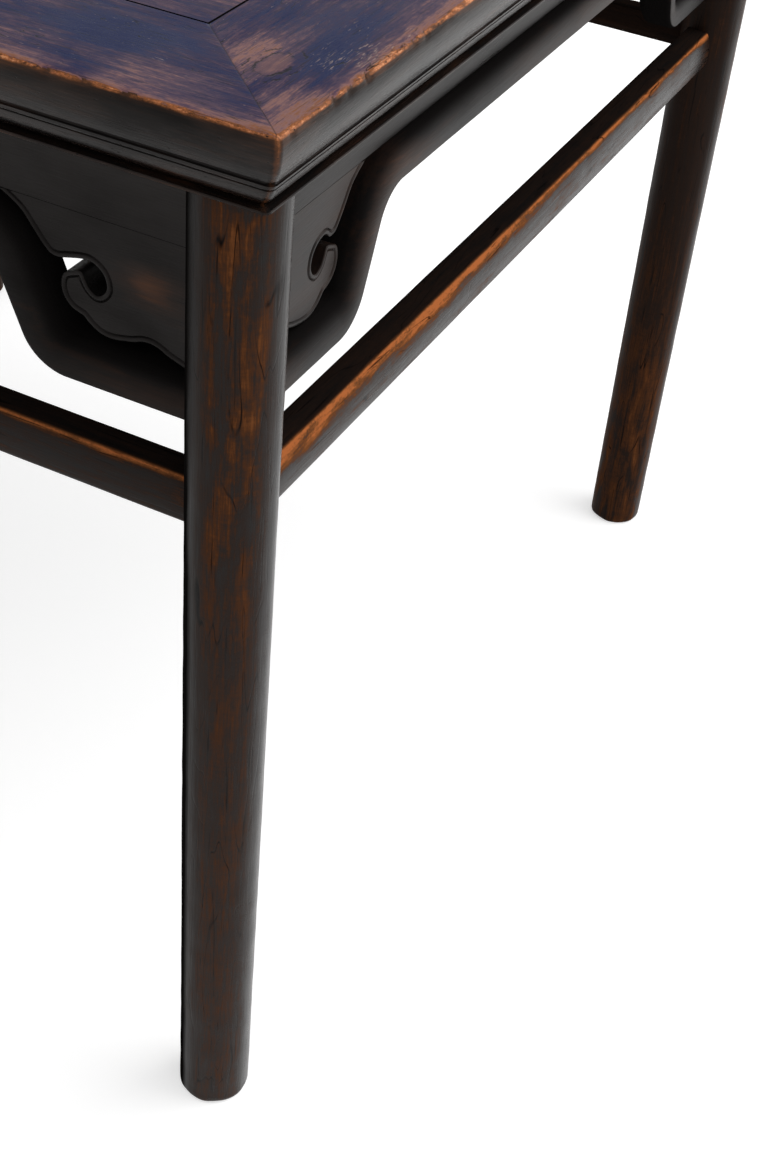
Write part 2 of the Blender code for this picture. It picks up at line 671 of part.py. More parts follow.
def stretcher_mesh():
    inner_face = LEG_AXIS - STRETCHER_SETBACK
    section = stretcher_section()
    rail = sweep([
        [Vector((x, -inner_face - d, STRETCHER_UNDER + h)) for d, h in section]
        for x in (-LEG_AXIS, LEG_AXIS)
    ])
    return carved(
        "stretcher", rail, ("DIFFERENCE", leg_envelopes()), ("UNION", side_tenons(*STRETCHER_TENON)),
    )


# Assembly

def build():
    for old in list(bpy.data.objects):
        bpy.data.objects.remove(old)
    top_lacquer = wood_material("top_lacquer", (0.075, 0.055, 0.070), 0.30)
    edge_lacquer = wood_material("edge_lacquer", (0.040, 0.034, 0.032), 0.32)
    leg_lacquer = wood_material("leg_lacquer", (0.085, 0.045, 0.028), 0.34)
    dark_lacquer = wood_material("dark_lacquer", (0.030, 0.026, 0.025), 0.36)
    bare_wood = wood_material("bare_wood", (0.210, 0.130, 0.075), 0.70)

    turns = []
    for quarter, side in enumerate(SIDES):
        turn = bpy.data.objects.new(f"turn_{side}", None)
        turn.rotation_euler.z = quarter * QUARTER_TURN
        bpy.context.scene.collection.objects.link(turn)
        turns.append(turn)

    leg = leg_mesh()
    apron = apron_mesh()
    stretcher = stretcher_mesh()
    frames = {"front": frame_mesh(tenoned=True), "side": frame_mesh(tenoned=False)}
    humpbacks = {kind: humpback_mesh(kind) for kind in ("front", "side")}
    spandrels = {
        (kind, hand): spandrel_mesh(kind, sign)
        for kind in ("front", "side") for hand, sign in (("left", -1), ("right", 1))
    }
    for side, corner, turn in zip(SIDES, CORNERS, turns):
        kind = "front" if side in ("front", "back") else "side"
        place(f"leg_{corner}", leg, leg_lacquer, turn, (LEG_AXIS, -LEG_AXIS, 0))
        place(f"frame_{side}", frames[kind], edge_lacquer, turn)
        place(f"apron_{side}", apron, dark_lacquer, turn)
        place(f"humpback_{side}", humpbacks[kind], dark_lacquer, turn)
        place(f"stretcher_{side}", stretcher, leg_lacquer, turn)
        for hand in ("left", "right"):
            place(f"spandrel_{side}_{hand}", spandrels[kind, hand], dark_lacquer, turn)
    for index in range(PANEL_BOARDS):
        place(f"panel_board_{index + 1}", board_mesh(index), top_lacquer)
    for name, x in (("left", -BATTEN_SPACING / 2), ("right", BATTEN_SPACING / 2)):
        place(f"batten_{name}", batten_mesh(x), bare_wood)


build()
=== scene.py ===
"""Looks of the square table: finely modelled wooden pieces in worn lacquer, on a white studio floor.

A side of the table is modelled facing -Y and then turned into place about the origin, as in the solids.
Depth is the distance of a point from the table's middle towards the side that it faces.
Wear goes from 0, whole lacquer, to 1, bare wood, and dullness from 0, glossy, to 1, matt; where dullness
takes the gloss off faces in shade, it is painted shade.
"""
import math

import bmesh
import bpy
import numpy as np
from mathutils import Matrix, Vector, noise
from mathutils.geometry import delaunay_2d_cdt


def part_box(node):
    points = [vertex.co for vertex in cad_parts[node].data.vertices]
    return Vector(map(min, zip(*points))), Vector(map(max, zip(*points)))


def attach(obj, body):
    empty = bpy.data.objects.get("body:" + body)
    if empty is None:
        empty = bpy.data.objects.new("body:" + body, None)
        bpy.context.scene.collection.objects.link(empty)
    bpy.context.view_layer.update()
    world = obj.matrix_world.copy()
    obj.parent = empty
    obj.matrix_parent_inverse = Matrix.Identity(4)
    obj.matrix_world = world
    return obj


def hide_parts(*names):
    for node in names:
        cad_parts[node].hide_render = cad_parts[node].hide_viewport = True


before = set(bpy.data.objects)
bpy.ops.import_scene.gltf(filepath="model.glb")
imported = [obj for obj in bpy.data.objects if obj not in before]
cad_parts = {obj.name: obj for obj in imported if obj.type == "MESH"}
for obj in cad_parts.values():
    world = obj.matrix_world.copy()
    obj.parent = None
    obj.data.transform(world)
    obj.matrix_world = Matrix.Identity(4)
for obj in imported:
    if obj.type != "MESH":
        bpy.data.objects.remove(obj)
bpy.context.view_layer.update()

SIDES = ("front", "right", "back", "left")
CORNERS = ("front_right", "back_right", "back_left", "front_left")
AXES = ("X", "Y", "X", "Y")  # along which each side runs
KINDS = ("front", "side", "front", "side")  # sides of a kind have the same scrolls
FIT = 0.0003  # clearance in the joints, as in the solids
COPE_GAP = 0.0004  # between a leg and the pieces coped round it

# Places taken from the frame
frame_low, frame_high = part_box("frame_front")
apron_low, apron_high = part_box("apron_front")
hump_low, hump_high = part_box("humpback_front")
rail_low, rail_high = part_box("stretcher_front")
leg_low, leg_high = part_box("leg_front_right")
HALF_TOP = frame_high.x
TOP = frame_high.z
FRAME_UNDER = frame_low.z
FRAME_INNER = -frame_high.y
LEG_AXIS = (leg_low.x + leg_high.x) / 2
LEG_TOP_RADIUS = (leg_high.x - leg_low.x) / 2
LEG_TOP = FRAME_UNDER - FIT
APRON_FACE = -apron_low.y
APRON_LOW = apron_low.z
HUMP_INNER = -hump_high.y
HUMP_OUTER = -hump_low.y
HUMP_UNDER = hump_low.z
HUMP_TOP = hump_high.z
RAIL_INNER = -rail_high.y
RAIL_UNDER = rail_low.z
RAIL_HEIGHT = rail_high.z - rail_low.z

# Moulded edge of the top, much as in the solids; a curve gives shares of the lean and the height
ARRIS_RADIUS = 0.003
FACET_HEIGHT = 0.0265
FACET_LEAN = 0.0048
FACET_CURVE = ((0.16, 0.09), (0.03, 0.22), (0.02, 0.36), (0.14, 0.55), (0.46, 0.78), (1.0, 1.0))
GROOVE_HEIGHT = 0.0026
GROOVE_DEPTH = 0.0017
BEAD_SETBACK = 0.0010
BEAD_LEAN = 0.0114
BEAD_CURVE = ((0.0, 0.0), (0.18, 0.36), (0.50, 0.72), (1.0, 1.0))
FILLET_REACH = 0.0072
FILLET_HEIGHT = 0.0018
FILLET_CHAMFER = 0.0005
INNER_CHAMFER = 0.0006
FINE_LINE_DROP = 0.0032  # from the bead's upper edge down to the fine line cut in it
FINE_LINE_WIDTH = 0.0009
FINE_LINE_DEPTH = 0.0006
FINE_LINE_FLARE = 0.0001
LIP_REACH = 0.0008  # of a lip that closes the view through the gap round the panel
LIP_TOP = 0.0065  # below the table's top
LIP_UNDER = 0.0130
CORNER_RADIUS = 0.0045
MITRE_GROOVE = 0.00012
MITRE_START = 0.9984  # share of the half length where the mitre's groove begins

# Wear of the top and its edge
TOP_WEAR = 0.34
EDGE_WEAR = 0.25
FILLET_WEAR = 0.04
CORNER_WEAR = 0.22
ARRIS_INSET = 0.0009  # from both faces to the middle of the worn arris
ARRIS_LOSS = 0.0004  # how deep it is worn everywhere
ARRIS_REACH = 0.0032
NICK_WIDTH = 0.0024
NICK_DIRT = 0.75

# Deeper nicks in the arris: place along the side and depth
NICKS = {
    "front": ((0.354, 0.0016), (0.402, 0.0012), (0.376, 0.0008)),
    "right": ((-0.394, 0.0022), (-0.430, 0.0012), (-0.412, 0.0008), (-0.340, 0.0010)),
}

# Rubbed and well-kept places of the top near its front right corner: x, y, radii and added wear
RUBBED_PLACES = (
    (0.424, -0.406, 0.018, 0.024, 0.12), (0.404, -0.380, 0.014, 0.030, 0.10),
    (0.470, -0.452, 0.014, 0.034, 0.15), (0.462, -0.392, 0.016, 0.026, -0.18),
    (0.437, -0.352, 0.024, 0.036, -0.16), (0.462, -0.335, 0.016, 0.040, -0.09),
    (0.440, -0.285, 0.026, 0.045, -0.10), (0.474, -0.330, 0.012, 0.060, 0.06),
    (0.360, -0.424, 0.042, 0.018, -0.38), (0.385, -0.425, 0.026, 0.0035, 0.22),
    (0.425, -0.462, 0.035, 0.010, -0.07), (0.400, -0.447, 0.022, 0.008, 0.12),
)
SCRATCH_PLACE = (0.471, -0.366, 0.820)
SCRATCH_REACH = 0.085
KNOT_PLACE = (0.439, -0.410, 0.820)
KNOT_STRETCH = (105.0, 60.0, 0.0)  # one over the knot's half width and half length

# Legs
LEG_FOOT_RADIUS = 0.0267
LEG_SEGMENTS = 72
LEG_UNEVENNESS = 0.0003  # its room, taken off the radius
FOOT_HEIGHTS = (0.0, 0.0006, 0.0016, 0.003, 0.005, 0.008, 0.012)
LEG_WEAR = 0.10
WORN_FACE = (0.5, -0.866)  # the way the most rubbed part of a leg faces

# Where a leg turns evenly brown, by how far it faces outward, from start to full, and its dullness, which
# takes the gloss off its side in shade as painted shade
LEG_LOOKS = {"front_right": (-0.28, -0.50, 1.0), "other": (0.85, 0.35, 0.65)}

# Spandrels: the outline as in the solids, with a raised rim and a fine groove along the cut edges
SCROLL_CUSP = 0.1215
SCROLL_REACH = {"front": 0.1213, "side": 0.1337}
SCROLL_GAP = {"front": 0.0058, "side": 0.0015}
SPANDREL_BACK = -apron_high.y - 0.004  # a little deeper than the solid
RIM_WIDTH = 0.0028
RIM_HEIGHT = 0.0006
RIM_GROOVE_WIDTH = 0.0013
RIM_GROOVE_DEPTH = 0.0009
MESH_STEP = 0.006
SPANDREL_WEAR = 0.24
RIM_WEAR = -0.06  # added to the wear of the face
SPANDREL_BACK_WEAR = 0.16
BROWN_SPOT = (0.378, 0.680, 0.020, 0.013, 0.34)  # front right: x, height, radii and added wear

# Humpback stretchers
HUMP_HEIGHT = 0.025
HUMP_BEND = {"front": 0.0310, "side": 0.0293}
HUMP_SLOPE = math.radians(68)
HUMP_LOWER_RADIUS = 0.034
HUMP_UPPER_RADIUS = 0.029
BEND_STEPS = 14
SHOULDER_WIDTH = 0.012
SHOULDER_HEIGHT = 0.017
HUMP_INNER_CUT = 0.007
HUMP_FACE_WEAR = 0.25
# The top's lower wear darkens the upper side as painted shade under the apron.
HUMP_TOP_WEAR_AND_SHADE = 0.12
HUMP_HIDDEN_WEAR = 0.14
# The front's greater dullness is painted shade on the front humps.
HUMP_FACE_DULL_AND_SHADE = {"front": 0.50, "side": 0.25}

# Straight stretchers
RAIL_TOP_WIDTH = 0.021
RAIL_FLARE = 0.0029
RAIL_BULGE = 0.0016
RAIL_UNDER_RISE = 0.0115
RAIL_INNER_ROUND = 0.003
RAIL_TOP_WEAR = 0.22
RAIL_FACE_WEAR = 0.27
RAIL_ARRIS_WEAR = 0.98
# The front face's dullness is painted shade on the front side.
RAIL_FACE_DULL_AND_SHADE = {"front": 0.30}  # the other sides keep their full gloss

# Both kinds of stretcher
EDGE_ROUND = 0.0035
BACK_ROUND = 0.0015

# Colours and gloss
WHITE = (1.0, 1.0, 1.0)
FLOOR_GREY = (0.70, 0.70, 0.70)
ORANGE = (0.36, 0.122, 0.046)
RUST = (0.37, 0.112, 0.034)
TAN = (0.180, 0.064, 0.022)
BROWN = (0.070, 0.026, 0.0105)
ROSE = (0.200, 0.098, 0.088)
MAUVE = (0.070, 0.038, 0.062)
# The lacquer's own blue and violet, with a painted bluish reflection of the sky in them
VIOLET_WITH_SKY_REFLECTION = (0.022, 0.014, 0.046)
BLUE_WITH_SKY_REFLECTION = (0.004, 0.010, 0.054)
CHARCOAL = (0.0070, 0.0062, 0.0060)
UMBER = (0.018, 0.0100, 0.0072)
CRACK = (0.003, 0.0025, 0.0025)
PALE = (0.40, 0.29, 0.24)
PEACH = (0.56, 0.235, 0.105)
KNOT = (0.150, 0.072, 0.066)
LATE_WOOD = (0.115, 0.062, 0.034)
PLAIN_WOOD = (0.20, 0.118, 0.068)
EARLY_WOOD = (0.29, 0.185, 0.115)
WARM = (1.0, 0.90, 0.86)  # tint of the gloss
SHEEN = 0.135
TOP_SHEEN = 0.045
BARE_SHEEN = 0.25

# Studio and camera
FLOOR_REACH = 12.0
FLOOR_LIFT = 0.53  # makes the grey floor look white
BRIGHT_SIDE = (0.75, 0.35, 0.55)  # the way to the brighter light
LAMP_PLACE = Vector((2.4, 1.0, 3.0))
LAMP_AIM = Vector((0.2, -0.1, 0.6))
LAMP_SIZE = 3.0
LAMP_POWER = 60.0
CAMERA_PLACE = Vector((0.8551, -1.1710, 1.1896))
CAMERA_TURN = (0.4065, 0.6763, -0.1005)  # yaw, pitch and roll in radians
CAMERA_LENS = 55.794
CAMERA_SENSOR = 36.0  # long side of the picture, in mm like the lens


# Curves and noise

def arc(centre, radii, start, end, steps):
    """Points on an elliptical arc, both ends included."""
    angles = [start + (end - start) * i / steps for i in range(steps + 1)]
    return [(centre[0] + radii[0] * math.cos(a), centre[1] + radii[1] * math.sin(a)) for a in angles]


def smooth_stroke(points, steps):
    """A Catmull-Rom curve through the points, without its last point."""
    padded = [Vector(point) for point in (points[0], *points, points[-1])]
    curve = []
    for a, b, c, d in zip(padded, padded[1:], padded[2:], padded[3:]):
        for i in range(steps):
            t = i / steps
            linear = (c - a) * t
            square = (2 * a - 5 * b + 4 * c - d) * t ** 2
            cube = (3 * b - a - 3 * c + d) * t ** 3
            curve.append(b + (linear + square + cube) / 2)
    return curve


def smoothstep(low, high, value):
    """0 at low and 1 at high, with a smooth rise between them."""
    t = np.clip((np.asarray(value, float) - low) / (high - low), 0.0, 1.0)
    return t * t * (3 - 2 * t)


def falloff(distance, reach):
    """1 at no distance, falling softly to almost 0 at twice the reach."""
    return np.exp(-((distance / reach) ** 2))


def soft_spots(x, y, spots):
    """Sum of soft spots at points, each with its place, radii and strength."""
    return sum(
        strength * falloff(x - place_x, radius_x) * falloff(y - place_y, radius_y)
        for place_x, place_y, radius_x, radius_y, strength in spots
    )


def wobble(x, y, z, size):
    """Smooth noise from -1 to 1, with features about as large as the given size."""
    return noise.noise(Vector((x, y, z)) / size)


def spaced(low, high, step):
    """Evenly spaced values about a step apart, both ends included."""
    return np.linspace(low, high, max(2, round((high - low) / step) + 1))


def even_steps(points, step):
    """A polyline through the same course with about equal steps."""
    points = np.array(points, float)
    lengths = np.hypot(*np.diff(points, axis=0).T)
    travelled = np.concatenate([[0.0], np.cumsum(lengths)])
    places = spaced(0.0, travelled[-1], step)
    return np.stack([np.interp(places, travelled, points[:, k]) for k in (0, 1)], axis=1)


def distance_to(points, line):
    """Distance of each point to a polyline."""
    best = np.full(len(points), np.inf)
    for a, run in zip(line[:-1], np.diff(line, axis=0)):
        t = np.clip(((points - a) @ run) / (run @ run), 0.0, 1.0)
        best = np.minimum(best, np.hypot(*(points - a - t[:, None] * run).T))
    return best


# Meshes and pieces

def loft(points, count):
    """A closed skin, as points and faces, through rings of so many points, capped at both ends."""
    last = len(points) - count
    faces = []
    for here in range(0, last, count):
        for i in range(count):
            j = (i + 1) % count
            faces.append((here + j, here + i, here + count + i, here + count + j))
    faces.append(tuple(range(count)))
    faces.append(tuple(reversed(range(last, last + count))))
    return points, faces


def make_piece(name, skin, finish, turn, materials, replaces, sharp=40):
    """A piece from its skin, turned into place, with its finish: the wear and dullness of each point."""
    points, faces = skin
    mesh = bpy.data.meshes.new(name)
    mesh.from_pydata(points, [], faces)
    mesh.transform(Matrix.Rotation(turn * math.pi / 2, 4, "Z"))
    for key, values in finish.items():
        attribute = mesh.attributes.new(key, "FLOAT", "POINT")
        attribute.data.foreach_set("value", np.asarray(values, np.float32))
    shell = bmesh.new()
    shell.from_mesh(mesh)
    bmesh.ops.recalc_face_normals(shell, faces=shell.faces)
    shell.to_mesh(mesh)
    shell.free()
    mesh.shade_smooth()
    mesh.set_sharp_from_angle(angle=math.radians(sharp))
    for material in materials:
        mesh.materials.append(material)
    piece = bpy.data.objects.new(name, mesh)
    bpy.context.scene.collection.objects.link(piece)
    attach(piece, "root")
    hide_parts(replaces)
    return piece


# Materials

class Graph:
    """A short way to write the nodes of a material or a world."""

    def __init__(self, owner):
        owner.use_nodes = True
        self.owner = owner
        self.tree = owner.node_tree
        self.shader = self.tree.nodes.get("Principled BSDF")

    def put(self, socket, value):
        """Links a socket to another node's output, or sets it to a value."""
        if isinstance(value, bpy.types.NodeSocket):
            self.tree.links.new(value, socket)
        elif isinstance(value, tuple) and len(value) == 3 and socket.type == "RGBA":
            socket.default_value = (*value, 1.0)
        else:
            socket.default_value = value

    def add(self, kind, inputs, **settings):
        """A new node with its settings and inputs."""
        node = self.tree.nodes.new(kind)
        for name, value in settings.items():
            setattr(node, name, value)
        for key, value in inputs.items():
            self.put(node.inputs[key], value)
        return node

    def grain(self, axis):
        """Object coordinates with the grain along the first one."""
        place = self.add("ShaderNodeTexCoord", {}).outputs["Object"]
        if axis == "X":
            return place
        split = self.add("ShaderNodeSeparateXYZ", {0: place}).outputs
        order = (1, 0, 2) if axis == "Y" else (2, 0, 1)
        joined = self.add("ShaderNodeCombineXYZ", {i: split[k] for i, k in enumerate(order)})
        return joined.outputs[0]

    def attribute(self, name):
        """A value kept at the mesh's points, 0 where it has none."""
        return self.add("ShaderNodeAttribute", {}, attribute_name=name).outputs["Fac"]

    def vector(self, operation, a, b):
        return self.add("ShaderNodeVectorMath", {0: a, 1: b}, operation=operation).outputs[0]

    def length(self, vector):
        return self.add("ShaderNodeVectorMath", {0: vector}, operation="LENGTH").outputs["Value"]

    def noise(self, place, counts, detail=4.0, roughness=0.55, distortion=0.0):
        """Noise about 0.5, with so many features to the metre along the three coordinates."""
        inputs = {
            "Vector": self.vector("MULTIPLY", place, counts), "Scale": 1.0, "Detail": detail,
            "Roughness": roughness, "Distortion": distortion,
        }
        return self.add("ShaderNodeTexNoise", inputs).outputs["Fac"]

    def contours(self, place, counts, lines, width):
        """Thin closed lines of the grain's figure: 1 on a line, 0 off it."""
        field = self.math("MULTIPLY", self.noise(place, counts, 2.0, 0.45, 0.5), lines)
        return self.step(self.math("PINGPONG", field, 0.5), width, 0.0)

    def math(self, operation, a, b=0.0, clamp=False):
        node = self.add("ShaderNodeMath", {0: a, 1: b}, operation=operation, use_clamp=clamp)
        return node.outputs[0]

    def total(self, start, *terms):
        """start plus each value less its middle, times its share."""
        for value, middle, share in terms:
            part = self.math("MULTIPLY", self.math("SUBTRACT", value, middle), share)
            start = self.math("ADD", start, part)
        return start

    def step(self, value, low, high):
        """What smoothstep does, as a node."""
        inputs = {"Value": value, "From Min": low, "From Max": high}
        return self.add("ShaderNodeMapRange", inputs, interpolation_type="SMOOTHSTEP").outputs[0]

    def span(self, value, low, high):
        """A value from 0 to 1 spread from low to high."""
        inputs = {"Value": value, "To Min": low, "To Max": high}
        return self.add("ShaderNodeMapRange", inputs).outputs[0]

    def ramp(self, factor, *stops):
        """A colour ramp from its positions and colours."""
        node = self.add("ShaderNodeValToRGB", {0: factor})
        elements = node.color_ramp.elements
        while len(elements) < len(stops):
            elements.new(1.0)
        for element, (position, colour) in zip(elements, stops):
            element.position = position
            element.color = (*colour, 1.0)
        return node.outputs[0]

    def paint(self, colour, paint, mask, strength=1.0):
        """The colour with a paint over it where the mask is 1."""
        factor = self.math("MULTIPLY", mask, strength)
        node = self.add("ShaderNodeMix", {0: factor, 6: colour, 7: paint}, data_type="RGBA")
        return node.outputs[2]

    def shade(self, looks):
        """Gives the shader its inputs."""
        for name, value in looks.items():
            self.put(self.shader.inputs[name], value)

    def finish(self, colour, roughness, height, bump, sheen, polish, tint=WHITE):
        """Joins the looks to the shader; bump is its strength and distance, polish a value about 0.5."""
        relief = self.add("ShaderNodeBump", {"Height": height, "Strength": bump[0], "Distance": bump[1]})
        # The dullness kept at the points takes gloss away; on faces in shade it is painted shade.
        dull_and_shade = self.attribute("dull_and_shade")
        gloss = self.math("MULTIPLY", self.span(dull_and_shade, sheen, 0.0), self.span(polish, 0.0, 2.0))
        self.shade({"Specular IOR Level": sheen})  # stays where the link to it is dropped
        self.shade({
            "Base Color": colour, "Roughness": self.total(roughness, (dull_and_shade, 0.0, 0.3)),
            "Normal": relief.outputs[0], "Specular IOR Level": gloss, "Specular Tint": tint,
        })
        return self.owner


def frayed(g, grain, worn):
    """Noise that breaks up the wear, only where the wear is strong."""
    strong = g.math("MAXIMUM", g.math("SUBTRACT", worn, 0.45), 0.0)
    coarse = g.noise(grain, (110, 300, 300), 3, 0.6)
    grit = g.noise(grain, (420, 700, 700), 3, 0.8)
    return g.math("MULTIPLY", g.total(0.0, (coarse, 0.5, 2.2), (grit, 0.5, 3.0)), strong)


def dents(g, grain, worn):
    """Small dents of the worn arrises, which hold dirt."""
    spots = g.step(g.noise(grain, (150, 330, 330), 3, 0.65), 0.58, 0.66)
    return g.math("MULTIPLY", spots, g.step(worn, 0.50, 0.75))


def knot_figure(g):
    """An oval knot in the right frame member: its rubbed body, and the fine cracks that ring it."""
    place = g.grain("X")
    oval = g.vector("MULTIPLY", g.vector("SUBTRACT", place, KNOT_PLACE), KNOT_STRETCH)
    ragged = g.noise(place, (160, 160, 160), 3, 0.6)
    radius = g.total(g.length(oval), (ragged, 0.5, 0.65))
    body = g.step(radius, 1.0, 0.55)
    rings = [
        g.step(g.math("ABSOLUTE", g.math("SUBTRACT", radius, middle)), width, 0.03)
        for middle, width in ((0.92, 0.11), (1.40, 0.09))
    ]
    broken = g.step(g.noise(place, (75, 75, 75), 2), 0.39, 0.50)
    return body, g.math("MULTIPLY", g.math("MAXIMUM", *rings), broken)


def scratched_place(g):
    """1 in the middle of the most scratched place of the right frame member, 0 away from it."""
    distance = g.length(g.vector("SUBTRACT", g.grain("X"), SCRATCH_PLACE))
    return g.step(distance, SCRATCH_REACH, 0.004)


def mitre_seam(g, fray):
    """The fine dirty seam along the diagonals of the top, where the frame members meet."""
    split = g.add("ShaderNodeSeparateXYZ", {0: g.grain("X")}).outputs
    apart = g.math("SUBTRACT", g.math("ABSOLUTE", split[0]), g.math("ABSOLUTE", split[1]))
    width = g.span(fray, 0.0005, 0.0013)
    return g.math("SUBTRACT", 1.0, g.math("DIVIDE", g.math("ABSOLUTE", apart), width), clamp=True)


def top_material(name, axis, ground=0.0, blotches=0.65, mitred=True):
    """Blue-black lacquer of the top, whose blue is partly a painted reflection of a bluish sky, rubbed
    through in blotches and streaks along the grain.
    """
    g = Graph(bpy.data.materials.new(name))
    grain = g.grain(axis)
    clouds = g.noise(grain, (3, 8, 8), 3, 0.5)
    patches = g.noise(grain, (12, 32, 32), 6, 0.62, 0.5)
    streaks = g.noise(grain, (16, 220, 220), 5, 0.65, 0.3)
    fibres = g.noise(grain, (100, 900, 900), 3, 0.6)
    fray = g.noise(grain, (180, 420, 420), 5, 0.8)
    worn = g.attribute("wear")
    rub = g.total(
        g.math("ADD", worn, ground), (clouds, 0.5, blotches), (patches, 0.5, blotches),
        (streaks, 0.5, 0.66), (fibres, 0.5, 0.40), (fray, 0.5, 0.40), (frayed(g, grain, worn), 0.0, 1.0),
    )
    colour = g.ramp(
        rub, (0.17, BLUE_WITH_SKY_REFLECTION), (0.30, VIOLET_WITH_SKY_REFLECTION), (0.43, MAUVE), (0.58, ROSE), (0.74, TAN), (0.88, ORANGE),
        (1.0, PEACH),
    )
    scratches = g.noise(grain, (150, 1000, 1000), 2, 0.5, 0.8)
    places = g.noise(grain, (26, 40, 40), 2)
    gathered = g.total(scratches, (places, 0.5, 0.40), (scratched_place(g), 0.0, 0.11))
    specks = g.step(gathered, 0.73, 0.80)
    colour = g.paint(colour, PALE, specks, 0.45)
    colour = g.paint(colour, CRACK, dents(g, grain, worn), 0.7)
    pores = g.noise(grain, (36, 1200, 1200), 2, 0.5)
    colour = g.paint(colour, CRACK, g.step(pores, 0.60, 0.70), 0.65)
    cracks = g.contours(grain, (20, 90, 90), 6, 0.045)
    colour = g.paint(colour, CRACK, g.math("MULTIPLY", cracks, g.step(places, 0.52, 0.64)))
    knot, knot_lines = knot_figure(g)
    colour = g.paint(colour, KNOT, knot, 0.50)
    colour = g.paint(colour, CRACK, knot_lines, 0.8)
    if mitred:
        colour = g.paint(colour, CRACK, mitre_seam(g, fray), 0.6)
    roughness = g.span(g.total(rub, (fibres, 0.5, 0.4)), 0.26, 0.46)
    height = g.total(
        fibres, (specks, 0.0, -0.4), (streaks, 0.5, 0.6), (cracks, 0.0, -0.6), (knot_lines, 0.0, -0.8),
    )
    return g.finish(colour, roughness, height, (0.22, 0.0003), TOP_SHEEN, patches)


def edge_material(axis):
    """Near-black lacquer of the moulded edge, brown where it is thin and orange on worn arrises."""
    g = Graph(bpy.data.materials.new(f"edge_lacquer_{axis.lower()}"))
    grain = g.grain(axis)
    clouds = g.noise(grain, (11, 50, 60), 4, 0.6, 0.5)
    streaks = g.noise(grain, (20, 300, 300), 4, 0.6)
    fibres = g.noise(grain, (80, 1000, 1000), 3, 0.6)
    worn = g.attribute("wear")
    rub = g.total(
        worn, (clouds, 0.5, 0.65), (streaks, 0.5, 0.40), (fibres, 0.5, 0.25),
        (frayed(g, grain, worn), 0.0, 1.0),
    )
    colour = g.ramp(
        rub, (0.20, CHARCOAL), (0.36, UMBER), (0.54, BROWN), (0.70, TAN), (0.90, ORANGE), (1.0, PEACH),
    )
    fine_grain = g.vector("MULTIPLY", grain, (130, 260, 260))
    spots = g.add("ShaderNodeTexVoronoi", {"Vector": fine_grain, "Scale": 1.0})
    pits = g.step(spots.outputs["Distance"], 0.13, 0.07)
    colour = g.paint(colour, CRACK, pits)
    colour = g.paint(colour, CRACK, dents(g, grain, worn), 0.7)
    roughness = g.span(g.total(rub, (clouds, 0.5, 0.7)), 0.20, 0.40)
    height = g.total(fibres, (streaks, 0.5, 0.7), (clouds, 0.5, 1.4), (pits, 1.0, -0.8))
    return g.finish(colour, roughness, height, (0.35, 0.0005), SHEEN, clouds, WARM)


def dark_material(axis):
    """Near-black lacquer of the aprons, spandrels and humpbacks, with a few brown rubbed places."""
    g = Graph(bpy.data.materials.new(f"dark_lacquer_{axis.lower()}"))
    grain = g.grain(axis)
    clouds = g.noise(grain, (7, 15, 15), 4, 0.55)
    streaks = g.noise(grain, (14, 160, 160), 4, 0.6)
    fibres = g.noise(grain, (60, 900, 900), 3, 0.6)
    rub = g.total(g.attribute("wear"), (clouds, 0.5, 0.80), (streaks, 0.5, 0.40), (fibres, 0.5, 0.15))
    colour = g.ramp(rub, (0.20, CHARCOAL), (0.38, UMBER), (0.60, BROWN), (0.95, TAN))
    roughness = g.span(g.total(clouds, (streaks, 0.5, 0.6)), 0.20, 0.42)
    height = g.total(fibres, (streaks, 0.5, 0.9), (clouds, 0.5, 1.6))
    return g.finish(colour, roughness, height, (0.32, 0.0005), SHEEN, clouds, WARM)


def leg_material(axis, evenness=0.0):
    """Dark lacquer of legs and straight stretchers, worn to orange; evenness calms less worn places."""
    g = Graph(bpy.data.materials.new(f"leg_lacquer_{axis.lower()}"))
    grain = g.grain(axis)
    clouds = g.noise(grain, (16, 44, 44), 5, 0.62, 1)
    streaks = g.noise(grain, (11, 170, 170), 5, 0.70, 0.5)
    fibres = g.noise(grain, (40, 700, 700), 3, 0.6)
    fray = g.noise(grain, (150, 300, 300), 3, 0.6)
    crackle = g.noise(grain, (420, 110, 110), 3, 0.6)
    worn = g.attribute("wear")
    well_worn = g.step(worn, 0.34, 0.40)
    blotches = g.math("MULTIPLY", g.math("SUBTRACT", clouds, 0.5), g.span(well_worn, 0.45, 1.30))
    mottle = g.total(
        blotches, (streaks, 0.5, 0.85), (fibres, 0.5, 0.45), (fray, 0.5, 0.25), (crackle, 0.5, 0.20),
        (frayed(g, grain, worn), 0.0, 0.6),
    )
    # Where the dullness is painted shade, the mottle is calmer too.
    in_gloss = g.span(g.attribute("dull_and_shade"), 1.0, 0.35)
    liveliness = g.math("MULTIPLY", in_gloss, g.span(well_worn, 1 - evenness, 1.0))
    rub = g.math("ADD", worn, g.math("MULTIPLY", mottle, liveliness))
    colour = g.ramp(rub, (0.14, CHARCOAL), (0.32, UMBER), (0.50, BROWN), (0.72, TAN), (0.95, RUST))
    figure = g.contours(grain, (5, 46, 46), 6, 0.05)
    colour = g.paint(colour, CRACK, g.math("MULTIPLY", figure, g.step(clouds, 0.44, 0.60)))
    cracks = g.step(g.noise(grain, (16, 420, 420), 3, 0.5), 0.64, 0.70)
    colour = g.paint(colour, CRACK, cracks, 0.8)
    roughness = g.span(g.total(rub, (clouds, 0.5, 0.5)), 0.22, 0.42)
    height = g.total(fibres, (streaks, 0.5, 1.0), (cracks, 0.0, -0.5), (figure, 0.0, -0.5))
    polish = g.math("MULTIPLY", g.step(rub, 0.65, 0.08), 0.6)
    return g.finish(colour, roughness, height, (0.34, 0.0004), SHEEN, polish, WARM)


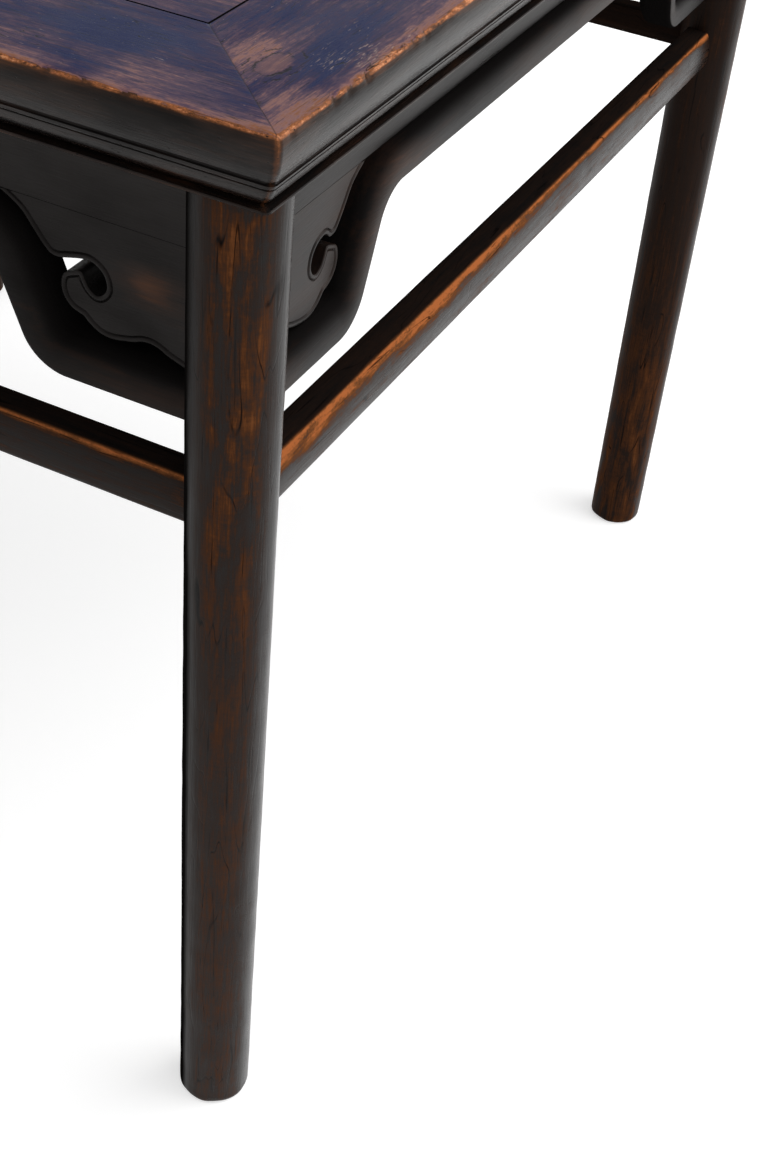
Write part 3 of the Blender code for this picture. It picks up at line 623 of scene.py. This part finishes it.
def bare_material(axis):
    """Bare wood of the battens, with soft year rings along the grain."""
    g = Graph(bpy.data.materials.new(f"bare_wood_{axis.lower()}"))
    grain = g.grain(axis)
    rings = g.noise(grain, (4, 120, 120), 4, 0.6, 0.4)
    fibres = g.noise(grain, (50, 900, 900), 3, 0.6)
    tone = g.total(rings, (fibres, 0.5, 0.35))
    colour = g.ramp(tone, (0.30, LATE_WOOD), (0.52, PLAIN_WOOD), (0.75, EARLY_WOOD))
    roughness = g.span(tone, 0.58, 0.80)
    height = g.total(fibres, (rings, 0.5, 0.6))
    return g.finish(colour, roughness, height, (0.4, 0.0004), BARE_SHEEN, rings)


# Top frame

def bead_course(outer, high, low):
    """The bead from its upper edge to its lower one, with the fine line cut in it."""
    shares = smooth_stroke(BEAD_CURVE, 5)
    bead = [(outer - BEAD_LEAN * lean, high - (high - low) * drop) for lean, drop in shares]
    line = high - FINE_LINE_DROP
    depth = np.interp(-line, [-h for _, h in bead], [d for d, _ in bead])
    notch = [
        (depth + FINE_LINE_FLARE, line + FINE_LINE_WIDTH / 2), (depth - FINE_LINE_DEPTH, line),
        (depth - FINE_LINE_FLARE, line - FINE_LINE_WIDTH / 2),
    ]
    kept = [point for point in bead if abs(point[1] - line) > FINE_LINE_WIDTH * 0.7]
    return sorted(kept + notch, key=lambda point: -point[1])


def lower_course(bead_foot, bead_low):
    """From the bead's foot round the fillet, along the underside and up the inner edge with its lip."""
    fillet = bead_foot + FILLET_REACH
    return [
        (bead_foot, bead_low), (fillet - FILLET_CHAMFER, bead_low), (fillet, bead_low - FILLET_CHAMFER),
        (fillet, FRAME_UNDER + FILLET_CHAMFER), (fillet - FILLET_CHAMFER, FRAME_UNDER),
        (FRAME_INNER + INNER_CHAMFER, FRAME_UNDER), (FRAME_INNER, FRAME_UNDER + INNER_CHAMFER),
        (FRAME_INNER, TOP - LIP_UNDER), (FRAME_INNER - LIP_REACH, TOP - LIP_UNDER),
        (FRAME_INNER - LIP_REACH, TOP - LIP_TOP), (FRAME_INNER, TOP - LIP_TOP),
        (FRAME_INNER, TOP - INNER_CHAMFER),
    ]


def edge_profile():
    """Section of a frame member as depth and height, from the top's inner edge out and round below."""
    arris_lean, arris_drop = FACET_CURVE[0]
    arris_height = arris_drop * FACET_HEIGHT
    arris_start = HALF_TOP - arris_lean * FACET_LEAN - ARRIS_RADIUS
    facet_foot = HALF_TOP - FACET_LEAN
    facet_low = TOP - FACET_HEIGHT
    groove_radius = GROOVE_HEIGHT * 0.45
    bead_outer = facet_foot - BEAD_SETBACK
    bead_low = FRAME_UNDER + FILLET_HEIGHT
    wide_steps = spaced(FRAME_INNER + 0.004, HALF_TOP - 0.016, 0.008)
    fine_steps = spaced(HALF_TOP - 0.013, arris_start - 0.001, 0.0018)
    surface = [(d, TOP) for d in (FRAME_INNER + INNER_CHAMFER, *wide_steps, *fine_steps)]
    rounding = arc((arris_start, TOP - arris_height), (ARRIS_RADIUS, arris_height), math.pi / 2, 0, 6)
    facet = [
        (HALF_TOP - FACET_LEAN * lean, TOP - FACET_HEIGHT * drop)
        for lean, drop in smooth_stroke(FACET_CURVE, 4)[1:]
    ]
    groove = arc(
        (facet_foot, facet_low - groove_radius), (GROOVE_DEPTH, groove_radius),
        math.pi / 2, 1.5 * math.pi, 6,
    )
    bead = bead_course(bead_outer, facet_low - GROOVE_HEIGHT, bead_low)
    return [*surface, *rounding, *facet, *groove, *bead, *lower_course(bead_outer - BEAD_LEAN, bead_low)]


class FrameSection:
    """The section of a frame member, and which of its points wear in which way."""

    def __init__(self):
        depths, heights = np.array(edge_profile()).T
        self.depths = depths
        self.heights = heights
        self.is_top = (heights > TOP - 0.0016) & (depths > FRAME_INNER + 0.0003)
        self.is_flat = heights > TOP - 1e-6
        self.is_arris = (depths > HALF_TOP - 0.0185) & (heights > TOP - 0.008)
        self.is_fillet = (heights < FRAME_UNDER + FILLET_HEIGHT + 1e-6) & (depths > HALF_TOP - 0.0108)
        self.radius = CORNER_RADIUS * smoothstep(HALF_TOP - 0.030, HALF_TOP - 0.008, depths)
        self.from_arris = np.hypot(depths - HALF_TOP + ARRIS_INSET, heights - TOP + ARRIS_INSET)

    def placed(self, share, angle, loss):
        """Its points at a share of the half length and an angle round the corner, less a loss."""
        pull = 0.7 * loss * falloff(self.from_arris, ARRIS_REACH) * self.is_arris
        at_mitre = self.radius * (math.pi / 4 - angle) + self.depths * (1 - abs(share)) < 1e-4
        x = share * (self.depths - self.radius) + np.sign(share) * self.radius * math.sin(angle)
        depth = self.depths - self.radius * (1 - math.cos(angle)) - pull
        height = self.heights - pull - MITRE_GROOVE * (self.is_flat & at_mitre)
        return x, depth, height

    def wear(self, ground, angle, place, seed, dirt):
        """Wear of its points: that of the ground, and more towards the arris and the corner."""
        band = 0.5 + 0.5 * wobble(place, seed, 0.0, 0.060)
        fringe = 0.5 + 0.5 * wobble(place, seed, 2.0, 0.012)
        top_reach = 0.0023 + 0.0056 * band * fringe + 0.0014 * fringe
        edge_reach = np.where(self.is_top, top_reach, 0.0011 + 0.0012 * fringe)
        edge = (0.62 + 0.40 * band) * (1 - dirt) * falloff(self.from_arris, edge_reach)
        halo_reach = np.where(self.is_top, 0.0095, 0.0050)
        halo = (0.08 + 0.22 * band) * falloff(self.from_arris, halo_reach)
        corner = np.where(self.is_top, 0.0, CORNER_WEAR * smoothstep(0.2, 0.7, angle))
        return np.maximum(edge, ground + halo) + np.where(self.is_fillet, FILLET_WEAR, corner)


def member_stations():
    """Stations of a frame member: the share of its half length, and the angle round its corner."""
    shares = (-1.0, -MITRE_START, *spaced(-1.0, 1.0, 0.0062)[1:-1], MITRE_START, 1.0)
    bend = spaced(0.0, math.pi / 4, math.pi / 28)[1:]
    first = [(-1.0, angle) for angle in reversed(bend)]
    return first + [(share, 0.0) for share in shares] + [(1.0, angle) for angle in bend]


def arris_damage(side, place, seed):
    """How deep the arris is worn and chipped at a place along a side, and how dirty it is there."""
    chip = max(0.0, wobble(place, seed, 4.0, 0.010) - 0.28) * 0.0060
    dirt = 0.0
    for nick, depth in NICKS.get(side, ()):
        closeness = falloff(place - nick, NICK_WIDTH)
        chip += depth * closeness
        dirt = max(dirt, NICK_DIRT * closeness)
    ripple = 0.00025 * wobble(place, seed, 8.0, 0.014) + 0.0004 * wobble(place, seed, 9.0, 0.050)
    return max(0.0, chip + ARRIS_LOSS + ripple), dirt


def rubbed_places(x, y, turn):
    """Added wear of the top at points of a side that is then turned into place."""
    cosine, sine = round(math.cos(turn * math.pi / 2)), round(math.sin(turn * math.pi / 2))
    return soft_spots(cosine * x - sine * y, sine * x + cosine * y, RUBBED_PLACES)


def frame_member(side, turn):
    """A mitred frame member with its worn arris and slightly rounded corners."""
    section = FrameSection()
    seed = 3.1 * turn
    points, wear = [], []
    for share, angle in member_stations():
        place = share * HALF_TOP
        loss, dirt = arris_damage(side, place, seed)
        x, depth, height = section.placed(share, angle, loss)
        points += zip(x, -depth, height)
        ground = np.where(section.is_top, TOP_WEAR + rubbed_places(x, -depth, turn), EDGE_WEAR)
        wear += list(section.wear(ground, angle, place, seed, dirt))
    piece = make_piece(
        f"top_frame_{side}", loft(points, len(section.depths)), {"wear": wear}, turn,
        (top_lacquer[AXES[turn]], edge_lacquer[AXES[turn]]), f"frame_{side}",
    )
    for polygon in piece.data.polygons:
        is_upper = polygon.normal.z > 0.80 and polygon.center.z > TOP - 0.003
        polygon.material_index = 0 if is_upper else 1


# Legs

def leg_radius(height):
    """Radius of the tapered leg at a height."""
    return LEG_FOOT_RADIUS + (LEG_TOP_RADIUS - LEG_FOOT_RADIUS) * height / LEG_TOP


def worn_radius(turn, height, across, out):
    """Radius of the old leg at a height, by the way it faces: uneven, with a worn foot."""
    uneven = 0.00035 * wobble(across + 5 * turn, out, height, 0.35)
    uneven += 0.00025 * wobble(across * 0.03 + turn, out * 0.03, height, 0.02)
    round_foot = 0.0042 + 0.0022 * wobble(across + 9 * turn, out, 0.0, 0.6)
    short = max(0.0, 1 - height / round_foot)
    inset = round_foot * (1 - math.sqrt(max(0.0, 1 - short ** 2)))
    return leg_radius(height) + uneven - LEG_UNEVENNESS - inset


def leg_finish(look, height, across, out):
    """Wear and dullness of a leg at a height, by the way it faces; the dullness is painted shade,
    strongest on its side in shade.
    """
    start, full, dullness = look
    facing = (across - out) / math.sqrt(2)
    handled = smoothstep(0.40, 0.92, across * WORN_FACE[0] + out * WORN_FACE[1])
    rubbed = handled * (0.245 + 0.045 * smoothstep(0.40, 0.60, height))
    away = smoothstep(start, full, facing)
    brown = away * (0.19 + 0.11 * smoothstep(0.50, 0.10, height))
    # Painted shade: gloss is taken off the side of the leg in shade, and a little off the part facing -X
    # before the leg is turned into place.
    shaded = 0.20 - 0.18 * smoothstep(0.45, 0.65, height)
    in_shade = 1 - smoothstep(shaded, shaded + 0.26, facing)
    dull_and_shade = dullness * max(in_shade, 0.35 * smoothstep(0.35, -0.30, across))
    return LEG_WEAR + rubbed * (1 - away) + brown, dull_and_shade


def leg(corner, turn):
    """A round, slightly tapered leg with an uneven worn foot and a rubbed outer face."""
    look = LEG_LOOKS.get(corner, LEG_LOOKS["other"])
    points, finish = [], []
    for height in (*FOOT_HEIGHTS, *spaced(0.016, LEG_TOP, 0.0055)):
        for i in range(LEG_SEGMENTS):
            angle = 2 * math.pi * i / LEG_SEGMENTS
            across, out = math.cos(angle), math.sin(angle)
            radius = worn_radius(turn, height, across, out)
            points.append((LEG_AXIS + radius * across, -LEG_AXIS + radius * out, height))
            finish.append(leg_finish(look, height, across, out))
    wear, dull_and_shade = zip(*finish)
    make_piece(
        f"round_leg_{corner}", loft(points, LEG_SEGMENTS), {"wear": wear, "dull_and_shade": dull_and_shade}, turn,
        (leg_lacquer["Z"],), f"leg_{corner}", sharp=50,
    )


def cope(depth, height):
    """How far from the middle a side's piece reaches at a depth before it meets the leg."""
    room = leg_radius(height) ** 2 - (depth - LEG_AXIS) ** 2
    return LEG_AXIS - math.sqrt(max(0.0, room)) + COPE_GAP


# Spandrels

def scroll_outline(kind):
    """A spandrel's cut edge as distance from the leg axis and height, and its upper and lower height."""
    reach = SCROLL_REACH[kind]
    high = APRON_LOW - FIT
    tip = high - (HUMP_UNDER + HUMP_HEIGHT + FIT)
    drop = tip - SCROLL_GAP[kind]
    cusp = (SCROLL_CUSP / reach, 0.434)
    rise = [(1.34, 0.0), (1.22, 0.115), (1.15, 0.25), (1.095, 0.36), (1.05, 0.425)]
    hook = [
        cusp, (0.86, 0.378), (0.795, 0.40), (0.752, 0.47), (0.74, 0.57), (0.765, 0.64), (0.80, 0.664),
        (0.838, 0.625), (0.862, 0.56), (0.885, 0.497), (0.945, 0.525), (0.985, 0.565), (1.0, 0.66),
        (0.985, 0.76), (0.94, 0.84), (0.875, 0.878),
    ]
    lobe = [
        (0.875, 0.878), (0.845, 0.925), (0.81, 0.965), (0.765, 0.995), (0.70, 1.0), (0.60, 0.965),
        (0.55, 0.935), (0.50, 0.925), (0.45, 0.945), (0.40, 0.985), (0.31, 0.96 * tip / drop),
    ]
    cut = []
    for stroke in ([(u * cusp[0], w) for u, w in rise] + [cusp], hook, lobe):
        cut += [(u * reach, high - w * drop) for u, w in smooth_stroke(stroke, 12)]
    cut.append((0.25 * reach, high - tip))
    return even_steps(cut, 0.0009), high, high - tip


def rim_relief(distance):
    """Height of the spandrel's face over its ground at a distance from the cut edge."""
    across = np.clip((distance - RIM_WIDTH / 2) / (RIM_WIDTH / 2), -1.0, 1.0)
    bead = RIM_HEIGHT * np.sqrt(1 - across ** 2) * (distance < RIM_WIDTH)
    groove = np.clip((distance - RIM_WIDTH) / RIM_GROOVE_WIDTH, 0.0, 1.0)
    return bead - RIM_GROOVE_DEPTH * np.sin(math.pi * groove)


def rim_points(cut):
    """Points along the cut edge, inward of it, that carry the rim and its groove."""
    forward = np.gradient(cut, axis=0)
    inward = np.stack([forward[:, 1], -forward[:, 0]], axis=1)
    inward /= np.hypot(*inward.T)[:, None]
    offsets = [RIM_WIDTH * share for share in (0.12, 0.32, 0.5, 0.68, 0.88, 1.0)]
    offsets += [RIM_WIDTH + RIM_GROOVE_WIDTH * share for share in (0.25, 0.5, 0.75, 1.0)]
    loops = [cut + inward * offset for offset in offsets]
    clear = [loop[distance_to(loop, cut) > offset * 0.985] for loop, offset in zip(loops, offsets)]
    return np.concatenate(clear)


def filled(outline, inner):
    """A flat face with points inside an outline: its points, faces and where the outline's points are."""
    flat = [Vector(point) for point in np.concatenate([outline, inner])]
    found, _, faces, origins, _, _ = delaunay_2d_cdt(flat, [], [list(range(len(outline)))], 1, 1e-6)
    place = {source: index for index, sources in enumerate(origins) for source in sources}
    return np.array([tuple(point) for point in found]), [tuple(face) for face in faces], place


def spandrel_skin(kind):
    """Points, faces and wear of a spandrel at the right end of a side."""
    cut, high, low = scroll_outline(kind)
    middle = (high + low) / 2
    leg_front = LEG_AXIS - cope(APRON_FACE, middle)
    leg_back = LEG_AXIS - min(cope(SPANDREL_BACK, middle), SPANDREL_BACK - FIT)
    bottom = even_steps([cut[-1], (leg_front, low)], 0.004)[1:]
    wall = even_steps([(leg_front, low), (leg_front, high)], MESH_STEP)[1:]
    top = even_steps([(leg_front, high), cut[0]], MESH_STEP)[1:-1]
    outline = np.concatenate([cut, bottom, wall, top])
    columns, rows = spaced(leg_front, cut[:, 0].max(), MESH_STEP), spaced(low, high, MESH_STEP)
    grid = np.array([(u, w) for u in columns for w in rows])
    ground = grid[distance_to(grid, cut) > RIM_WIDTH + RIM_GROOVE_WIDTH + 0.001]
    face, faces, place = filled(outline, np.concatenate([rim_points(cut), ground]))
    from_cut = distance_to(face, cut)
    points = [(LEG_AXIS - u, -(APRON_FACE + r), h) for (u, h), r in zip(face, rim_relief(from_cut))]
    start, count = len(points), len(outline)
    for u, h in outline:
        behind = leg_back if abs(u - leg_front) < 1e-6 else u
        points.append((LEG_AXIS - behind, -SPANDREL_BACK, h))
    for i in range(count):
        j = (i + 1) % count
        faces.append((place[i], place[j], start + j, start + i))
    faces.append(tuple(range(start, start + count)))
    face_wear = SPANDREL_WEAR + RIM_WEAR * falloff(from_cut - RIM_WIDTH / 2, 0.001)
    return points, faces, np.concatenate([face_wear, np.full(count, SPANDREL_BACK_WEAR)])


def spandrels(side, turn, skin):
    """The two spandrels of a side, from the skin of the right one."""
    points, faces, plain_wear = skin
    for hand, sign in (("left", -1), ("right", 1)):
        placed = [(sign * x, y, z) for x, y, z in points]
        wear = plain_wear
        if (side, hand) == ("front", "right"):
            x, _, z = np.array(points).T
            wear = plain_wear + soft_spots(x, z, (BROWN_SPOT,))
        make_piece(
            f"cloud_spandrel_{side}_{hand}", (placed, faces), {"wear": wear}, turn,
            (dark_lacquer[AXES[turn]],), f"spandrel_{side}_{hand}",
        )


# Stretchers

def hump_path(kind):
    """Underside of a humpback from the leg axis to the middle, as distance, height and slope."""
    sine, cosine = math.sin(HUMP_SLOPE), math.cos(HUMP_SLOPE)
    upright = math.pi / 2
    lower, upper = HUMP_LOWER_RADIUS, HUMP_UPPER_RADIUS
    raised = HUMP_TOP - HUMP_HEIGHT
    straight = (raised - HUMP_UNDER - (lower + upper) * (1 - cosine)) / sine
    middle = max(SCROLL_REACH[kind], SCROLL_CUSP) + HUMP_BEND[kind]
    start = middle - straight * cosine / 2 - lower * sine
    end = middle + straight * cosine / 2 + upper * sine
    slopes = spaced(0.0, HUMP_SLOPE, HUMP_SLOPE / BEND_STEPS)
    rising = arc((start, HUMP_UNDER + lower), (lower, lower), -upright, HUMP_SLOPE - upright, BEND_STEPS)
    levelling = arc((end, raised - upper), (upper, upper), upright + HUMP_SLOPE, upright, BEND_STEPS)
    flank = np.linspace(rising[-1], levelling[0], 9)[1:-1]
    return [
        *((u, HUMP_UNDER, 0.0) for u in spaced(0.0, start, 0.006)[:-1]),
        *((u, h, slope) for (u, h), slope in zip(rising, slopes)),
        *((u, h, HUMP_SLOPE) for u, h in flank),
        *((u, h, slope) for (u, h), slope in zip(levelling, reversed(slopes))),
        *((u, raised, 0.0) for u in spaced(end, LEG_AXIS, 0.008)[1:]),
    ]


def back_edge(height):
    """The small rounding of a stretcher's upper inner edge."""
    return arc((BACK_ROUND, height - BACK_ROUND), (BACK_ROUND, BACK_ROUND), math.pi / 2, math.pi, 3)


def lower_edge(depth):
    """The rounding of a stretcher's lower outer edge."""
    return arc((depth - EDGE_ROUND, EDGE_ROUND), (EDGE_ROUND, EDGE_ROUND), -math.pi / 2, 0, 6)


def hump_section():
    """Section of a humpback as depth from its inner face and height above its underside."""
    depth = HUMP_OUTER - HUMP_INNER
    inner = [(0.0, HUMP_INNER_CUT + 0.001), (0.0008, HUMP_INNER_CUT - 0.0006)]
    under = [(HUMP_INNER_CUT - 0.0008, 0.0005), (HUMP_INNER_CUT + 0.0008, 0.0), (depth * 0.5, 0.0)]
    shoulder = arc(
        (depth - SHOULDER_WIDTH, HUMP_HEIGHT - SHOULDER_HEIGHT),
        (SHOULDER_WIDTH, SHOULDER_HEIGHT), 0, math.pi / 2, 12,
    )
    top = [(depth * 0.35, HUMP_HEIGHT), *back_edge(HUMP_HEIGHT)]
    return [*inner, *under, *lower_edge(depth), *shoulder, *top]


def hump_finish(kind, d, h):
    """Wear and dullness of a humpback at a point of its section; its upper side is darker and duller as
    painted shade under the apron, and its hidden faces are fully dull as painted shade.
    """
    shoulder_start = HUMP_OUTER - HUMP_INNER - SHOULDER_WIDTH - 0.0005
    # Hidden faces lose all gloss as painted shade; the upper side turns darker and duller towards the
    # top, painted shade under the apron.
    if d <= shoulder_start or h <= EDGE_ROUND / 2:
        return HUMP_HIDDEN_WEAR, 1.0
    upward = smoothstep(0.40, 0.90, 1 - (HUMP_HEIGHT - h) / SHOULDER_HEIGHT)
    wear = HUMP_FACE_WEAR + (HUMP_TOP_WEAR_AND_SHADE - HUMP_FACE_WEAR) * upward
    return wear, HUMP_FACE_DULL_AND_SHADE[kind] + (1 - HUMP_FACE_DULL_AND_SHADE[kind]) * upward


def humpback(side, turn):
    """A stretcher that drops at both ends from under the apron to the legs, coped round them."""
    section = hump_section()
    half = hump_path(KINDS[turn])
    course = [(point, -1) for point in half] + [(point, 1) for point in reversed(half[:-1])]
    points, finish = [], []
    for (along, height, slope), hand in course:
        for d, h in section:
            depth = HUMP_INNER + d
            z = height + h * math.cos(slope)
            x = min(LEG_AXIS - along + h * math.sin(slope), cope(depth, z), depth - FIT)
            uneven = 0.00025 * wobble(hand * x + turn, depth, z, 0.05)
            points.append((hand * x, -depth + abs(uneven), z))
            finish.append(hump_finish(KINDS[turn], d, h))
    wear, dull_and_shade = zip(*finish)
    make_piece(
        f"hump_stretcher_{side}", loft(points, len(section)), {"wear": wear, "dull_and_shade": dull_and_shade}, turn,
        (dark_lacquer[AXES[turn]],), f"humpback_{side}",
    )


def rail_section():
    """Section of a straight stretcher, measured in the same way."""
    inner = arc(
        (RAIL_INNER_ROUND, RAIL_UNDER_RISE + RAIL_INNER_ROUND), (RAIL_INNER_ROUND, RAIL_INNER_ROUND),
        math.pi, 1.5 * math.pi, 4,
    )
    face_height = RAIL_HEIGHT - EDGE_ROUND - 0.001
    face = []
    for t in spaced(0.0, 1.0, 1 / 16)[1:]:
        bulge = RAIL_BULGE * 4 * t * (1 - t)
        face.append((RAIL_TOP_WIDTH + RAIL_FLARE * (1 - t) + bulge, EDGE_ROUND + face_height * t))
    upper = [(RAIL_TOP_WIDTH - s, RAIL_HEIGHT) for s in (0.001, 0.003, 0.007, 0.012)]
    return [*inner, *lower_edge(RAIL_TOP_WIDTH + RAIL_FLARE), *face, *upper, *back_edge(RAIL_HEIGHT)]


def rubbed_band(side, turn, place):
    """How far down its face a straight stretcher is rubbed at a place along it."""
    width = 0.0050 + 0.0040 * wobble(place, 2.0 * turn, 1.0, 0.11)
    if side == "right":
        width += 0.0090 * smoothstep(0.30, -0.40, place)
    return max(0.0028, width)


def rail_finish(side, d, h, from_arris, band):
    """Wear and dullness of a straight stretcher at a point of its section; its upper, inner and under
    faces are fully dull, and its front face duller, as painted shade.
    """
    is_upper = h > RAIL_HEIGHT - 0.0005 and d < RAIL_TOP_WIDTH - 0.0002
    is_face = d > RAIL_TOP_WIDTH - 0.0005
    edge = RAIL_ARRIS_WEAR * falloff(from_arris, 0.0012 if is_upper else band)
    wear = max(edge, RAIL_TOP_WEAR if is_upper else RAIL_FACE_WEAR)
    # Painted shade: all faces but the outer one lose their gloss.
    return wear, RAIL_FACE_DULL_AND_SHADE.get(side, 0.0) if is_face else 1.0


def straight_stretcher(side, turn):
    """A straight stretcher whose upper outer arris is rubbed through to the wood."""
    section = rail_section()
    points, finish = [], []
    for share in spaced(-1.0, 1.0, 0.0075):
        band = rubbed_band(side, turn, share * LEG_AXIS)
        for d, h in section:
            depth = RAIL_INNER + d
            x = share * cope(depth, RAIL_UNDER + h)
            from_arris = math.hypot(d - RAIL_TOP_WIDTH, h - RAIL_HEIGHT)
            ripple = 0.0004 * wobble(x, turn, 6.0, 0.020) + 0.0003 * wobble(x, turn, 7.0, 0.007)
            loss = falloff(from_arris, 0.004) * (0.0006 + ripple)
            uneven = 0.00020 * wobble(x + turn, depth, h, 0.06)
            points.append((x, -(depth - 0.7 * loss - abs(uneven)), RAIL_UNDER + h - 0.6 * loss))
            finish.append(rail_finish(side, d, h, from_arris, band))
    wear, dull_and_shade = zip(*finish)
    make_piece(
        f"straight_stretcher_{side}", loft(points, len(section)), {"wear": wear, "dull_and_shade": dull_and_shade}, turn,
        (leg_lacquer[AXES[turn]],), f"stretcher_{side}",
    )


# Nodes of the frame that stay

def dress(node, material, walls=None):
    """A CAD node keeps its shape and takes a material, and another one where it doesn't face up."""
    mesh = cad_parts[node].data
    mesh.materials.clear()
    mesh.materials.append(material)
    if walls is not None:
        mesh.materials.append(walls)
    for polygon in mesh.polygons:
        polygon.material_index = int(walls is not None and polygon.normal.z < 0.5)


# The whole table

top_lacquer = {axis: top_material(f"top_lacquer_{axis.lower()}", axis) for axis in "XY"}
panel_lacquer = top_material("panel_lacquer", "X", 0.34, 0.34, mitred=False)
edge_lacquer = {axis: edge_material(axis) for axis in "XY"}
dark_lacquer = {axis: dark_material(axis) for axis in "XY"}
leg_lacquer = {"X": leg_material("X"), "Y": leg_material("Y"), "Z": leg_material("Z", evenness=0.38)}
bare_wood = bare_material("Y")

spandrel_skins = {kind: spandrel_skin(kind) for kind in ("front", "side")}
for turn, (side, corner) in enumerate(zip(SIDES, CORNERS)):
    frame_member(side, turn)
    leg(corner, turn)
    spandrels(side, turn, spandrel_skins[KINDS[turn]])
    humpback(side, turn)
    straight_stretcher(side, turn)
    dress(f"apron_{side}", dark_lacquer[AXES[turn]])
for board in ("panel_board_1", "panel_board_2", "panel_board_3"):
    dress(board, panel_lacquer, edge_lacquer["X"])
for batten in ("batten_left", "batten_right"):
    dress(batten, bare_wood)


# Studio

def seen_directly(g):
    """1 for camera, glossy and transmission rays, 0 for the rest."""
    rays = g.add("ShaderNodeLightPath", {}).outputs
    mirrored = g.math("MAXIMUM", rays["Is Camera Ray"], rays["Is Glossy Ray"])
    return g.math("MAXIMUM", mirrored, rays["Is Transmission Ray"])


def studio_world():
    """Soft light, brighter from the right, in front of a white background."""
    world = bpy.data.worlds.new("studio")
    g = Graph(world)
    g.tree.nodes.clear()
    direction = g.add("ShaderNodeTexCoord", {}).outputs["Generated"]
    towards = g.add("ShaderNodeVectorMath", {0: direction, 1: BRIGHT_SIDE}, operation="DOT_PRODUCT")
    levels = {"From Min": -0.8, "From Max": 0.9, "To Min": 0.30, "To Max": 1.0}
    strength = g.add("ShaderNodeMapRange", {"Value": towards.outputs["Value"], **levels}).outputs[0]
    soft = g.add("ShaderNodeBackground", {"Color": WHITE, "Strength": strength}).outputs[0]
    white = g.add("ShaderNodeBackground", {"Color": WHITE}).outputs[0]
    mixed = g.add("ShaderNodeMixShader", {0: seen_directly(g), 1: soft, 2: white}).outputs[0]
    g.add("ShaderNodeOutputWorld", {"Surface": mixed})
    bpy.context.scene.world = world


def studio_floor():
    """A plain white floor with the table's shadow."""
    mesh = bpy.data.meshes.new("floor")
    near, far = -FLOOR_REACH, FLOOR_REACH
    mesh.from_pydata([(near, near, 0), (far, near, 0), (far, far, 0), (near, far, 0)], [], [(0, 1, 2, 3)])
    floor = bpy.data.objects.new("floor", mesh)
    bpy.context.scene.collection.objects.link(floor)
    g = Graph(bpy.data.materials.new("studio_floor"))
    g.shade({
        "Base Color": FLOOR_GREY, "Roughness": 1.0, "Specular IOR Level": 0.0, "Emission Color": WHITE,
        "Emission Strength": g.math("MULTIPLY", seen_directly(g), FLOOR_LIFT),
    })
    mesh.materials.append(g.owner)


def key_lamp():
    """A large soft lamp, high on the right."""
    lamp = bpy.data.lights.new("key", "AREA")
    lamp.shape = "DISK"
    lamp.size = LAMP_SIZE
    lamp.energy = LAMP_POWER
    holder = bpy.data.objects.new("key", lamp)
    holder.location = LAMP_PLACE
    holder.rotation_euler = (LAMP_AIM - LAMP_PLACE).to_track_quat("-Z", "Y").to_euler()
    bpy.context.scene.collection.objects.link(holder)


def photo_camera():
    """The camera fitted to the photograph."""
    yaw, pitch, roll = CAMERA_TURN
    turn = Matrix.Rotation(yaw, 4, "Z") @ Matrix.Rotation(math.pi / 2 - pitch, 4, "X")
    data = bpy.data.cameras.new("photo_camera")
    data.lens = CAMERA_LENS
    data.sensor_width = CAMERA_SENSOR
    camera = bpy.data.objects.new("photo_camera", data)
    camera.matrix_world = Matrix.Translation(CAMERA_PLACE) @ turn @ Matrix.Rotation(-roll, 4, "Z")
    bpy.context.scene.collection.objects.link(camera)
    bpy.context.scene.camera = camera


studio_world()
studio_floor()
key_lamp()
photo_camera()
bpy.context.scene.view_settings.view_transform = "Standard"
